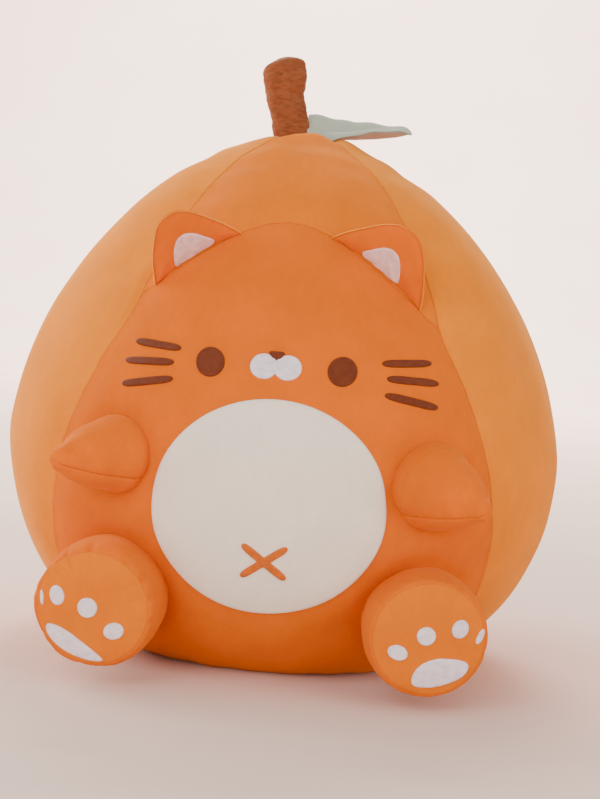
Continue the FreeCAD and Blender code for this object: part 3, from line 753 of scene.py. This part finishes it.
def raised(name, outline, surface, body, slot, height, edge, rings=10, border=0.0, flip=False):
    """A patch or embroidered shape that stands proud of a surface given by (u, v, lift)."""
    centre, places, lift = raised_grid(outline, height, edge, rings, border)
    points = surface(places[..., 0], places[..., 1], lift)
    middle = surface(centre[0:1], centre[1:2], np.array([height]))
    rows, columns = points.shape[:2]
    faces = flipped(grid_faces(rows, columns, closed=True, offset=1))
    faces += [(0, 1 + j, 1 + (j + 1) % columns) for j in range(columns)]
    all_points = np.concatenate([middle.reshape(1, 3), points.reshape(-1, 3)])
    return make_mesh(name, all_points, flipped(faces, flip), body, slot)


def on_body(x, z, lift):
    """A place of the front view on the stuffed cover."""
    x, z = np.asarray(x, float), np.asarray(z, float)
    azimuth = np.degrees(np.arcsin(np.clip(x / body_radius(z), -1, 1)))
    return body_skin(azimuth, np.interp(z, RUN_Z, RUN), lift)


FACE_SHIFT = -2.4                 # the face is sewn a little to one side
EYE_X, EYE_Z, EYE_RADIUS = 45.5, 231.8, 10.1
LOBE_X, LOBE_HALF_X, LOBE_HALF_Z = 8.2, 9.6, 8.5
NOSE = ((5.4, 242.0), (5.2, 239.4), (2.4, 236.6), (-2.4, 236.6), (-5.2, 239.4), (-5.4, 242.0), (-2.0, 242.2),
        (2.0, 242.2))
WHISKER_WIDTH = 5.5
WHISKERS = (((69.5, 239.0), (104.5, 241.6)), ((73.5, 229.0), (110.5, 227.6)), ((73.0, 218.0), (110.5, 210.8)))
CROSS_X, CROSS_Z, CROSS_RISE, CROSS_WIDTH = 15.5, 99.0, 11.5, 5.4
PATCH_HEIGHT, THREAD_HEIGHT = 2.2, 1.2


def join(pieces, name):
    """Several meshes as one piece."""
    for other in bpy.context.selected_objects:
        other.select_set(False)
    for piece in pieces:
        piece.select_set(True)
    bpy.context.view_layer.objects.active = pieces[0]
    bpy.ops.object.join()
    pieces[0].name = name
    return pieces[0]


def face_details():
    """Eyes, nose, muzzle, whiskers, belly patch and navel cross."""
    for side, sign in SIDES.items():
        outline = oval_outline(sign * EYE_X + FACE_SHIFT, EYE_Z, EYE_RADIUS, EYE_RADIUS)
        eye = raised("eye_stitch_" + side, outline, on_body, "torso", "brown_thread", THREAD_HEIGHT, 1.0,
                     border=2.0)
        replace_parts(eye, "eye_" + side)
        hairs = []
        for index, (near, far) in enumerate(WHISKERS):
            outline = stroke_outline((sign * near[0], near[1]), (sign * far[0], far[1]), WHISKER_WIDTH, 0.12)
            hairs.append(raised("whisker_%s_%d" % (side, index), outline, on_body, "torso", "brown_thread",
                                THREAD_HEIGHT, 1.0, 8))
        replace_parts(join(hairs, "whisker_stitch_" + side), "whiskers_" + side)
    lobes = []
    for index, x in enumerate((LOBE_X, -LOBE_X)):
        outline = oval_outline(x + FACE_SHIFT, EYE_Z, LOBE_HALF_X, LOBE_HALF_Z)
        lobes.append(raised("muzzle_%d" % index, outline, on_body, "torso", "lilac_thread",
                            THREAD_HEIGHT + 0.5 * index, 1.2, border=1.6))
    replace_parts(join(lobes, "muzzle_stitch"), "muzzle")
    outline = smooth_outline([(x + FACE_SHIFT, z) for x, z in NOSE])
    nose = raised("nose_stitch", outline, on_body, "torso", "brown_thread", THREAD_HEIGHT + 0.9, 0.9, 8)
    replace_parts(nose, "nose")
    belly = raised("belly_skin", oval_outline(0, BELLY_Z, BELLY_HALF_X, BELLY_HALF_Z, 180), on_body, "torso",
                   "grey_white_plush", PATCH_HEIGHT, 3.0, 34)
    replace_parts(belly, "belly_patch")
    strokes = []
    for index, rise in enumerate((CROSS_RISE, -CROSS_RISE)):
        outline = stroke_outline((-CROSS_X, CROSS_Z - rise), (CROSS_X, CROSS_Z + rise), CROSS_WIDTH)
        under = PATCH_HEIGHT + 0.3 * index
        strokes.append(raised("cross_%d" % index, outline, lambda x, z, lift: on_body(x, z, lift + under),
                              "torso", "orange_thread", THREAD_HEIGHT, 1.0, 7))
    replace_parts(join(strokes, "cross_stitch"), "navel_cross")


# ---------------------------------------------------------------- limbs

def aim(root, target, up=(0, 0, 1), mirror=1):
    """Axes of a limb: along it, to its side (the other side if mirror is -1) and its top."""
    along = unit(np.array(target, float) - root)
    side = unit(np.cross(np.array(up, float), along))
    return along, side * mirror, np.cross(along, side)


def turned_points(root, axes, x, r, angle, squash=1.0):
    """Points of a turned shape: x along, r around, angle from the top towards the side."""
    along, side, top = axes
    x, r, angle = np.broadcast_arrays(x, r, angle)
    return (root + x[..., None] * along + (r * np.sin(angle))[..., None] * side
            + (r * squash * np.cos(angle))[..., None] * top)


def outline_run(points, step, fine_last=False):
    """A half outline (x, r) resampled evenly, finer at a seam at its end."""
    points = np.array(points, float)
    run = run_along(points)
    at = graded(run[-1], step, first=False, last=fine_last) * run[-1]
    return np.interp(at, run, points[:, 0]), np.interp(at, run, points[:, 1]), at, run[-1]


def arc_points(centre, radius, start, end, count=24):
    a = np.radians(np.linspace(start, end, count))
    return [(centre[0] + radius * math.cos(t), centre[1] + radius * math.sin(t)) for t in a]


LEG_REACH, SOLE_RADIUS, SOLE_GAP = 41.0, 39.6, 0.55
SOLE_TUCK = 2.6, 1.7                                       # depth and width
FOOT_MESS, FOOT_SEED = {"left": 0.6, "right": 1.5}, {"left": 40, "right": 50}
# each toe pad: how far outwards and up from the sole's middle, its half width and height, and its slant
TOES = {"left": ((-21.0, -9.6, 7.0, 5.3, -16), (-2.6, 3.2, 6.6, 6.5, 0), (20.4, 9.4, 5.8, 6.6, -20),
                 (35.2, 4.6, 2.4, 5.6, -24)),
        "right": ((-16.4, -13.2, 7.4, 5.7, -22), (2.9, 0.6, 6.9, 7.0, 0), (24.0, 7.4, 5.2, 6.8, -12),
                  (35.2, 4.4, 1.5, 5.2, -8))}
LARGE_PADS = {"left": ((3, -33.5), (14, -31), (27, -24), (30, -14.5), (20, -11.5), (3.5, -12), (-8.5, -19.5),
                       (-11, -33)),
              "right": ((31, -21), (32, -13), (23, -13), (11, -19), (-8, -32), (-10, -37), (6, -35.5),
                        (21, -30))}


def leg_outline():
    """Half outline of a leg from the back of its ball root to the seam of its sole."""
    front = LEG_REACH - 3.5
    narrowing = SOLE_RADIUS + 1.8 - LEG_RADIUS
    points = arc_points((0, 0), LEG_RADIUS, 178, 92, 30)
    points += [(front * t, LEG_RADIUS + 1.4 * math.sin(math.pi * t) + narrowing * t ** 3)
               for t in np.linspace(0, 1, 24)]
    return points + [(front + 1.8, SOLE_RADIUS + 1.0), (front + 2.3, SOLE_RADIUS)]


def ruched(angle, seed):
    """Pinched folds around the sole's seam, deepest over the top of the foot."""
    return creases(angle, seed) * (0.3 + 0.7 * smooth(0.5 + 0.6 * np.cos(angle)))


def sole_bulge(share):
    """How far the sole stands out over its seam, by share of its radius."""
    return 4.2 * (1 - share ** 2.6)


def leg(side):
    """Side wall, sole, toe pads and large pad of one leg."""
    body = "leg_" + side
    mirror = SIDES[side]
    root = hinge_place(body)
    low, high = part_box(body + "_sole")
    axes = aim(root, (np.array(low) + np.array(high)) / 2 / MM, mirror=mirror)
    messy, seed = FOOT_MESS[side], FOOT_SEED[side]
    seam_x = leg_outline()[-1][0]

    # a coarse closed shape for the simulation, held at its root and at the sole's seam
    cx, cr, _, length = outline_run(leg_outline(), 4.2)
    around = full_turn(66)
    sole = np.linspace(0.94, 0.06, 9)
    x = np.concatenate([cx, seam_x + sole_bulge(sole)])
    r = np.concatenate([cr, sole * SOLE_RADIUS])
    coarse = turned_points(root, axes, x[:, None], r[:, None], around[None, :])
    faces = flipped(tube_faces(len(x), len(around), last_end=True), mirror > 0)
    held = np.zeros((len(x), len(around)), bool)
    held[:int(len(cx) * 0.42)] = True
    held[len(cx) - 1] = True
    moves = inflate(coarse, faces, held.ravel(), pressure=2.0, growth=0.02 * messy, cap=3.5)
    field = MoveField(coarse, moves)

    def wall(x, r, angle, run):
        """A place on the side wall with its gathers along the sole's seam."""
        to_seam = length - run
        gather = -fading(to_seam, 9) * 3.4 * messy * ruched(angle, seed) * smooth(to_seam / 2.5)
        folds = 0.7 * messy * bell(to_seam - 15, 12) * round_waves(angle, 3, 7, seed + 1)
        return turned_points(root, axes, x, r + gather + folds, angle)

    fx, fr, run, _ = outline_run(leg_outline(), 2.6, fine_last=True)
    angle = full_turn(168)
    turn_in = tuck(length - run, *SOLE_TUCK)
    points = wall(fx[:, None], (fr + turn_in)[:, None], angle[None, :], run[:, None])
    points = points + field.at(points, 5.5)
    tucked = fading(length - run, 1.5)[:, None, None]
    points = points + tucked * axes[0] * -0.4
    faces = flipped(tube_faces(len(fx), len(angle)), mirror > 0)
    piece = make_mesh(body + "_wall_skin", points, faces, body, "deep_orange_plush")
    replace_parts(piece, body + "_cover", body + "_stuffing")

    def sole_surface(y, z, lift):
        """A place on the sole, from its middle."""
        y, z = np.asarray(y, float), np.asarray(z, float)
        share = np.hypot(y, z) / SOLE_RADIUS
        angle = np.arctan2(y, z)
        bulge = sole_bulge(np.clip(share, 0, 1))
        gather = -2.4 * messy * fading((1 - share) * SOLE_RADIUS, 7) * ruched(angle, seed)
        soft = 0.5 * lumps(np.stack([y, z, 0 * y], -1), 38, seed + 3)
        x = seam_x + bulge + lift + (gather + soft) * smooth((1 - share) * 8)
        base = turned_points(root, axes, seam_x + bulge, share * SOLE_RADIUS, angle)
        return turned_points(root, axes, x, share * SOLE_RADIUS, angle) + field.at(base, 6.5)

    ring = np.concatenate([np.linspace(0.05, 0.70, 12), 1 - (FINE_EDGE[::-1] + SOLE_GAP) / SOLE_RADIUS])
    y = ring[:, None] * SOLE_RADIUS * np.sin(angle)[None, :]
    z = ring[:, None] * SOLE_RADIUS * np.cos(angle)[None, :]
    lift = tuck((1 - ring) * SOLE_RADIUS, *SOLE_TUCK)[:, None] + 0 * y
    faces = flipped(tube_faces(len(ring), len(angle)), mirror < 0)
    piece = make_mesh(body + "_sole_skin", sole_surface(y, z, lift), faces, body, "light_orange_plush")
    thicken(piece, SOLE_FABRIC)
    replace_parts(piece, body + "_sole")

    toes = []
    for index, (y, z, half_width, half_height, slant) in enumerate(TOES[side]):
        turn = math.radians(slant)
        shape = oval_outline(0, 0, half_width, half_height, 60)
        spun = shape @ np.array([[math.cos(turn), math.sin(turn)], [-math.sin(turn), math.cos(turn)]])
        toes.append(raised("toe_%s_%d" % (side, index), spun + (y, z), sole_surface, body, "lilac_thread",
                           THREAD_HEIGHT, 1.0, 7, flip=mirror < 0))
    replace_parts(join(toes, body + "_toe_stitch"), body + "_toe_pads")
    pad = raised(body + "_pad_stitch", smooth_outline(LARGE_PADS[side]), sole_surface, body, "lilac_thread",
                 THREAD_HEIGHT, 1.0, 12, flip=mirror < 0)
    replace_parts(pad, body + "_heel_pad")


ARM_REACH, ARM_TIP = {"left": 62.5, "right": 60.0}, 10.0
ARM_PITCH = {"left": -9.0, "right": -2.5}
ARM_SEAM = {"left": 46.0, "right": 54.0}   # degrees round the arm, so that a seam runs along its underside


def teardrop(root, tip, reach):
    """Half outline of a stuffed teardrop, its flank a little full."""
    span = reach - tip
    lean = math.degrees(math.asin((root - tip) / span))
    points = arc_points((0, 0), root, 178, 90 - lean, 40)
    far = arc_points((span, 0), tip, 90 - lean, 2, 14)
    start, end = np.array(points[-1]), np.array(far[0])
    out = unit(np.array([start[1] - end[1], end[0] - start[0]]))
    for t in np.linspace(0, 1, 16)[1:-1]:
        points.append(tuple(start + (end - start) * t + out * 1.6 * math.sin(math.pi * t)))
    return points + far


LIMB_MEAN_RADIUS = 24                      # sets how close the mesh lines are round an arm or the tail


def stuffed_limb(body, axes, outline, halves, slot, seed, seam_turn, squash=1.0, held_share=0.35, mirror=1):
    """A closed stuffed limb of two skins that meet at a seam along both of its edges."""
    root = hinge_place(body)
    cx, cr, _, length = outline_run(outline, 4.0)
    around = full_turn(44)
    coarse = turned_points(root, axes, cx[:, None], cr[:, None], around[None, :], squash)
    faces = flipped(tube_faces(len(cx), len(around), last_end=True), mirror > 0)
    held = np.zeros((len(cx), len(around)), bool)
    held[:int(len(cx) * held_share)] = True
    offset = np.abs((around - seam_turn + math.pi / 2) % math.pi - math.pi / 2)
    held[:, offset < 0.08] = True
    field = MoveField(coarse, inflate(coarse, faces, held.ravel(), pressure=2.5, growth=0.03, cap=3.5))
    fx, fr, run, _ = outline_run(outline, 2.2)
    half = graded(math.pi * LIMB_MEAN_RADIUS, 2.4, fine=FINE_EDGE[:-1])
    pieces = []
    for index, ending in enumerate(halves):
        angle = seam_turn + index * math.pi + half * math.pi
        distance = np.minimum(half, 1 - half)[None, :] * math.pi * fr[:, None]
        pucker = 0.35 * fading(distance, 5) * waves(run[:, None] / 7, seed + index)
        tip = 0.8 * fading(length - run, 9)[:, None] * round_waves(angle, 3, 8, seed + 5)[None, :]
        relief = tuck(distance, 1.8, 2.0) + pucker + tip * smooth(distance / 4)
        relief = relief + valley(distance, 0.8, 6)
        collar = bell(fx - 5.0, 0.9)[:, None]
        gathers = bell(fx - 6.0, 5.0)[:, None] * round_waves(angle, 9, 21, seed + 8)[None, :]
        relief = relief - 0.7 * collar + 0.3 * gathers
        r = np.maximum(fr[:, None] + relief, 0.2)
        points = turned_points(root, axes, fx[:, None], r, angle[None, :], squash)
        points = points + field.at(points, 5.5)
        faces = flipped(grid_faces(*points.shape[:2]), mirror > 0)
        piece = make_mesh(body + ending, points, faces, body, slot)
        pieces.append(piece)
    return pieces


def arm(side):
    """Upper and lower skin of one arm."""
    body = "arm_" + side
    mirror = SIDES[side]
    root = hinge_place(body)
    hinge = unit(np.array(JOINTS[body]["axis"], float))
    heading = unit(np.cross(np.array([0, 0, 1.0]), hinge))
    pitch = math.radians(ARM_PITCH[side])
    along = heading * math.cos(pitch) + np.array([0, 0, math.sin(pitch)])
    axes = aim(root, root + along, mirror=mirror)
    outline = teardrop(ARM_RADIUS[side], ARM_TIP, ARM_REACH[side])
    pieces = stuffed_limb(body, axes, outline, ["_lower_skin", "_upper_skin"], "deep_orange_plush",
                          60 + mirror, math.radians(ARM_SEAM[side]), squash=0.97, mirror=mirror)
    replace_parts(pieces[0], body + "_lower", body + "_stuffing")
    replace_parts(pieces[1], body + "_upper")


TAIL_TIP, TAIL_REACH, TAIL_PITCH = 13.0, 72.0, 38


def tail():
    """The tail: two skins with a seam over and under it."""
    root = hinge_place("tail")
    pitch = math.radians(TAIL_PITCH)
    axes = aim(root, root + np.array([0, math.cos(pitch), math.sin(pitch)]))
    outline = teardrop(TAIL_RADIUS, TAIL_TIP, TAIL_REACH)
    pieces = stuffed_limb("tail", axes, outline, ["_left_skin", "_right_skin"], "light_orange_plush", 70, 0.0,
                          held_share=0.3)
    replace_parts(pieces[0], "tail_cover", "tail_stuffing")


# ---------------------------------------------------------------- ears

EAR_ENDS = {"left": (28.5, 97.5), "right": (38.5, 100.0)}
EAR_HEIGHT, EAR_TIP = 46.0, 0.52      # the tip's place is a share of the base
EAR_POINTS = 61
EAR_LEAN = {"left": 14.0, "right": 5.0}


def on_front(x, z):
    return np.array([x, -math.sqrt(float(body_radius(z)) ** 2 - x ** 2), z])


def ear_curve(base):
    """The ear's edge from its inner to its outer foot, in the ear's plane."""
    tip = EAR_TIP * base
    knots = np.array([(0, 0), (tip * 0.5, EAR_HEIGHT * 0.66), (tip * 0.86, EAR_HEIGHT * 0.96),
                      (tip * 1.16, EAR_HEIGHT * 0.97), (tip + (base - tip) * 0.55, EAR_HEIGHT * 0.66),
                      (base, 0)])
    run = run_along(knots)
    at = np.linspace(0, run[-1], EAR_POINTS)
    return np.stack([spline_through(run, knots[:, axis], at) for axis in range(2)], -1)


def spline_through(x, y, at):
    """A natural cubic spline."""
    count = len(x)
    step = np.diff(x)
    matrix, right = np.eye(count), np.zeros(count)
    for i in range(1, count - 1):
        matrix[i, i - 1:i + 2] = step[i - 1], 2 * (step[i - 1] + step[i]), step[i]
        right[i] = 6 * ((y[i + 1] - y[i]) / step[i] - (y[i] - y[i - 1]) / step[i - 1])
    bend = np.linalg.solve(matrix, right)
    i = np.clip(np.searchsorted(x, at) - 1, 0, count - 2)
    a, b = (x[i + 1] - at) / step[i], (at - x[i]) / step[i]
    return a * y[i] + b * y[i + 1] + ((a ** 3 - a) * bend[i] + (b ** 3 - b) * bend[i + 1]) * step[i] ** 2 / 6


def ear(side):
    """Front and back skin and the embroidered inner patch of one ear."""
    body = "ear_" + side
    mirror = SIDES[side]
    mirrored = np.array([mirror, 1, 1])      # the ear is shaped on the left side, then mirrored
    near_x, far_x = EAR_ENDS[side]
    inner = on_front(near_x, float(arch_z(mirror * near_x)))
    outer = on_front(far_x, float(arch_z(mirror * far_x)))
    along = unit(outer - inner)
    base = float(np.linalg.norm(outer - inner))
    middle = (inner + outer) / 2
    azimuth = math.degrees(math.atan2(middle[0], -middle[1]))
    _, out = body_base(np.array(azimuth), np.array(np.interp(middle[2], RUN_Z, RUN)))
    lift = unit(out - along * (out @ along))
    back = unit(np.cross(lift, along))
    lean = math.radians(EAR_LEAN[side])
    stand = lift * math.cos(lean) + back * math.sin(lean)
    behind = np.cross(stand, along)
    edge = ear_curve(base)
    closed = np.concatenate([edge, np.linspace((base, 0), (0, 0), 20)[1:-1]])

    def seam_point(share):
        """The forehead seam under the ear."""
        x = near_x + (far_x - near_x) * np.clip(share, 0, 1)
        return on_body(mirror * x, arch_z(mirror * x), -1.0) * mirrored

    def surface(s, t, lift_out, face=-1):
        """A place on the ear's front (face -1) or back (1) skin."""
        s, t = np.asarray(s, float), np.asarray(t, float)
        distance = edge_distance(np.stack([s, t], -1), closed)
        half = 0.5 + 3.2 * (1 - fading(distance, 6.5))
        cup = -2.5 * ((s - base / 2) / (base / 2)) ** 2 - 2.0 * (t / EAR_HEIGHT) ** 2
        depth = face * (half + lift_out) + cup + 0.35 * waves(s / 21 + t / 17, 81)
        point = inner + s[..., None] * along + t[..., None] * stand + depth[..., None] * behind
        foot = seam_point(s / base) - (inner + s[..., None] * along)
        hold = bell(t, 11)[..., None]
        return (point + hold * foot) * mirrored

    rows = graded(40, 3.0, fine=np.array([0, 0.4, 1.0, 2.0, 3.5, 6.0]))
    columns = graded(120, 2.6, fine=np.array([0, 1.0, 2.5, 4.5, 7.5]))
    shares = np.linspace(0, 1, EAR_POINTS)
    rim = np.stack([np.interp(columns, shares, edge[:, axis]) for axis in range(2)], -1)
    # each column of the mesh runs from its share of the base up to the rim
    foot = np.stack([base * columns, 0 * columns], -1)
    places = foot[None] + (rim - foot)[None] * rows[:, None, None]
    # the back fabric wraps a little over the front's edge; its paler orange shows there as a thin light rim,
    # a painted highlight for the backlit sheen along the ear's edge
    pivot = np.array([EAR_TIP * base, 0])
    wrap = smooth((rows - 0.955) / 0.045)[:, None]
    wider = pivot + (rim - pivot) * (1.024 - 0.026 * wrap[..., None] ** 2)
    rolled = foot + (wider - foot) * rows[:, None, None]
    front = surface(places[..., 0], places[..., 1], tuck(edge_distance(places, closed), 0.6, 1.2), -1)
    back_points = surface(rolled[..., 0], rolled[..., 1], -2.2 * wrap, 1)
    # the fabric at the foot stays with the body and bends over its first few millimetres
    for points, node_name, slot in ((front, body + "_front", "deep_orange_plush"),
                                    (back_points, body + "_back", "pale_orange_plush")):
        faces = flipped(grid_faces(*points.shape[:2]), (points is front) != (mirror > 0))
        piece = make_mesh(node_name + "_skin", points, faces, None, slot)
        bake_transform(piece)
        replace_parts(piece, node_name)
        if points is front:
            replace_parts(piece, body + "_wadding")
    mid = EAR_TIP * base
    patch = smooth_outline([(mid - 20.5, 1.6), (mid, 1.2), (mid + 17, 1.6), (mid + 15, 8), (mid + 9, 19),
                            (mid + 3, 25), (mid - 5, 24.5), (mid - 12, 17)])
    piece = raised(body + "_inner_stitch", patch, surface, None, "pink_thread", 0.9, 1.0, 10, flip=mirror < 0)
    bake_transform(piece)
    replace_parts(piece, body + "_inner")


# ---------------------------------------------------------------- stem and leaf

STEM_LEAN = 8


def stem():
    """A stuffed tube of short brown pile with a waist on one side and a slanted, rounded end."""
    root = hinge_place("stem")
    lean = math.radians(STEM_LEAN)
    axes = aim(root, root + np.array([-math.sin(lean), 0, math.cos(lean)]), (0, -1, 0))
    outline = [(-8.0, 0.5), (-8.0, 13.0), (-6.5, 14.4), (-3.0, 14.7)]
    outline += [(x, 14.9 + 2.3 * smooth((x - 6) / 38)) for x in np.linspace(1, 51, 30)]
    outline += arc_points((51.5, 11.4), 5.8, 86, 14, 9)
    outline += [(58.2, 9.0), (59.4, 5.0), (59.8, 0.8)]
    cx, cr, _, _ = outline_run(outline, 1.5)
    angle = full_turn(96)
    x, r, turn = np.broadcast_arrays(cx[:, None], cr[:, None], angle[None, :])
    local = np.stack([x, r * np.sin(turn), r * np.cos(turn)], -1)
    across = local[..., 1] / 16
    waist = -2.6 * bell(x - 28, 7.5) * smooth((-across + 0.2) / 0.9)
    around = 0.55 + 0.45 * np.sin(turn + 2.6)
    crease = -1.0 * bell(x - 31 - 2.2 * np.sin(2 * turn), 1.7) * around
    fold = -1.3 * bell(x - 50 + 2.5 * across, 2.4) * bell(turn - 0.2, 0.7)
    pile = 0.22 * lumps(local * (2.2, 1, 1), 5, 93, 14)
    relief = 0.6 * lumps(local, 24, 91) + 0.3 * lumps(local, 10, 92) + pile + waist + crease + fold
    points = turned_points(root, axes, x, np.maximum(r + relief * smooth(r / 6), 0.3), turn)
    # the end is lower on the side away from the leaf
    end = smooth((x - 44) / 14) * (-1.9 * across - 1.2 * across ** 2)
    points = points + end[..., None] * axes[0] + (smooth(x / 45) * 2.4 + 0.8)[..., None] * axes[1]
    faces = flipped(tube_faces(len(cx), len(angle), last_end=True))
    piece = make_mesh("stem_skin", points, faces, "stem", "brown_plush")
    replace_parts(piece, "stem_cover", "stem_stuffing")


LEAF_LENGTH = 79.0
LEAF_SHARES = (0, 0.12, 0.26, 0.45, 0.65, 0.85, 0.95, 1.0)      # places from root to tip for what follows
LEAF_HALF_WIDTHS = (13.0, 18.0, 19.5, 20.0, 18.5, 14.5, 10.5, 4.0)
LEAF_MIDRIB = (-4.0, -7.2, -9.3, -9.2, -7.8, -5.2, -3.6, -2.8)
LEAF_FRONT_RISE = (-48, -42, -14, 4, 9, 8, 4, 0)      # degrees that the front and back halves slope up
LEAF_BACK_RISE = (66, 60, 57, 46, 41, 38, 36, 34)


def leaf_half(u):
    return spline_through(np.array(LEAF_SHARES), np.array(LEAF_HALF_WIDTHS), np.asarray(u, float))


def leaf_surface(u, v, lift):
    """A place on the leaf: u from root to tip, v from its front edge (-1) to its back edge (1)."""
    root = hinge_place("leaf")
    shares = np.array(LEAF_SHARES)
    front, back = (np.interp(u, shares, np.radians(rise)) for rise in (LEAF_FRONT_RISE, LEAF_BACK_RISE))
    side = 0.5 + 0.5 * np.tanh(v / 0.16)
    slope = -front * (1 - side) + back * side
    out = v * leaf_half(u)
    flat = np.abs(out) / np.sqrt(1 + (2.0 / np.maximum(np.abs(out), 1e-6)) ** 2)
    y = out * np.cos(slope)
    z = np.interp(u, shares, LEAF_MIDRIB) + flat * np.sin(np.where(v < 0, front, back)) - 1.6 * v ** 4
    ripple = 0.7 * np.sin(11 * u + 1.2 * v + 0.6) * np.abs(v) + 0.5 * np.sin(23 * u) * v ** 2
    x = (LEAF_LENGTH + 4) * u - 5.0
    z = z + ripple * smooth(u * 5)
    return root + np.stack([x + 0 * v, y - lift * np.sin(slope), z + lift * np.cos(slope)], -1)


def leaf():
    """Top and underside of the leaf, sewn together round the edge and along the midrib."""
    u = graded(LEAF_LENGTH, 1.8, fine=np.array([0, 0.5, 1.2, 2.2]))
    v = 2 * graded(40, 1.3, fine=np.array([0, 0.3, 0.8, 1.6, 3.0])) - 1
    grid_u, grid_v = np.meshgrid(u, v, indexing="ij")
    edge = np.minimum((1 - np.abs(grid_v)) * leaf_half(grid_u), (1 - grid_u) * LEAF_LENGTH * 0.6)
    rib = bell(grid_v * leaf_half(grid_u), 1.5)
    puff = 3.2 * (1 - fading(edge, 3.0)) - 1.6 * rib * smooth((grid_u - 0.05) * 6)
    gathers = 0.5 * fading(grid_u, 0.12) * np.sin(grid_v * 11 + 1)
    puff = np.maximum(puff + gathers * smooth(edge / 3), 0.12)
    # the underside's grey-pink is painted shade and orange bounce light
    for sign, node_name, slot in ((1, "leaf_top", "pale_green_plush"),
                                  (-1, "leaf_underside", "grey_pink_plush")):
        points = leaf_surface(grid_u, grid_v, sign * puff)
        faces = flipped(grid_faces(*points.shape[:2]), sign < 0)
        piece = make_mesh(node_name + "_skin", points, faces, "leaf", slot)
        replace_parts(piece, node_name)


# ---------------------------------------------------------------- side label

RIBBON_START, RIBBON_REACH, RIBBON_HALF_HEIGHT = 0.2, 8.6, 8.6
RIBBON_HALF_GAP = 0.35      # from the middle of the fold to each of its halves


def label():
    """A blank folded ribbon in the side seam."""
    joint = JOINTS["label"]
    root, up = np.array(joint["pos_m"]) / MM, unit(np.array(joint["axis"], float))
    a = math.radians(BACK_SEAM)
    across = np.array([math.cos(a), math.sin(a), 0.0])
    out = unit(np.cross(across, up))
    if out @ root < 0:
        out = -out
    share = np.linspace(0, 1, 8)
    # one half of the ribbon, a little bowed, then the round fold, then the other half back to the seam
    half = [(RIBBON_START + RIBBON_REACH * t, RIBBON_HALF_GAP + 0.25 * math.sin(math.pi * t)) for t in share]
    fold = [(9.0 + 0.7 * math.cos(t), 0.6 * math.sin(t)) for t in np.linspace(-math.pi / 2, math.pi / 2, 12)]
    path = np.array([(x, -y) for x, y in half] + fold + half[::-1])
    high = np.linspace(-RIBBON_HALF_HEIGHT, RIBBON_HALF_HEIGHT, 12)
    points = (root + path[:, 0][:, None, None] * out + path[:, 1][:, None, None] * across
              + high[None, :, None] * up + 0.3 * np.sin(high / 5)[None, :, None] * across)
    piece = make_mesh("side_ribbon", points, grid_faces(len(path), len(high)), "label", "ribbon")
    thicken(piece, RIBBON_FABRIC)
    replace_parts(piece, "side_label")


# ---------------------------------------------------------------- room, light and camera

def floor():
    """A plain pale floor that curves up far behind."""
    far, radius, top, side = 4.0, 1.6, 6.0, 30
    deep = [(-side, 0), (far, 0)]
    deep += [(far + radius * math.sin(t), radius - radius * math.cos(t))
             for t in np.radians(np.linspace(9, 90, 10))]
    deep.append((far + radius, top))
    piece = plain_mesh("floor", [(x, y, z) for y, z in deep for x in (-side, side)], grid_faces(len(deep), 2))
    tree, shader, place = new_material("pale_floor")
    color = ramp_between(tree, noise_of(tree, place, 3, 2), 0.3, 0.7, (0.74, 0.565, 0.485),
                         (0.78, 0.61, 0.53))
    tree.links.new(color, shader.inputs["Base Color"])
    set_inputs(shader, Roughness=0.9, Specular_IOR_Level=0.1)
    piece.data.materials.append(MATERIALS["pale_floor"])


def area_light(name, place, target, size, power, color):
    data = bpy.data.lights.new(name, "AREA")
    data.shape = "DISK"
    data.size, data.energy, data.color = size, power, color
    light = bpy.data.objects.new(name, data)
    light.location = place
    light.rotation_euler = (Vector(target) - Vector(place)).to_track_quat("-Z", "Y").to_euler()
    bpy.context.scene.collection.objects.link(light)


def lights():
    """Soft daylight from the upper left and behind, a bright backdrop and a warm fill."""
    middle = (0, 0, 0.2)
    area_light("window", (-1.5, 0.8, 1.1), middle, 1.6, 38, (1.0, 0.97, 0.93))
    area_light("key", (-0.8, -2.1, 1.0), middle, 1.8, 38, (1.0, 0.97, 0.93))
    area_light("fill", (1.6, -1.4, 0.6), middle, 1.5, 19, (1.0, 0.92, 0.84))
    area_light("backdrop", (0, 3.4, 4.0), (0, 5.6, 1.2), 2.5, 900, (1.0, 0.98, 0.96))
    world = bpy.data.worlds.new("daylight")
    world.use_nodes = True
    set_inputs(world.node_tree.nodes["Background"], Color=(1.0, 0.95, 0.91, 1), Strength=0.77)
    bpy.context.scene.world = world


def camera():
    """Seen from the front and a little above, the picture turned a few degrees."""
    azimuth, elevation, roll = math.radians(2.2), math.radians(5.0), math.radians(4.48)
    distance, target = 1.4, Vector((0, 0, 0.157))
    back = Vector((math.sin(azimuth) * math.cos(elevation), -math.cos(azimuth) * math.cos(elevation),
                   math.sin(elevation)))
    data = bpy.data.cameras.new("camera")
    data.lens = 77.9
    data.sensor_width = 36
    data.shift_x, data.shift_y = 0.020, 0.065
    data.clip_start = 0.05
    piece = bpy.data.objects.new("camera", data)
    piece.rotation_mode = "QUATERNION"
    piece.location = target + back * distance
    look = (-back).to_track_quat("-Z", "Y").to_matrix()
    piece.rotation_quaternion = (look @ Matrix.Rotation(roll, 3, "Z")).to_quaternion()
    bpy.context.scene.collection.objects.link(piece)
    bpy.context.scene.camera = piece


camera()
lights()
materials()
floor()
BODY_FIELD = simulate_body()
body_panels()
face_details()
for side in SIDES:
    leg(side)
    arm(side)
    ear(side)
stem()
leaf()
tail()
label()
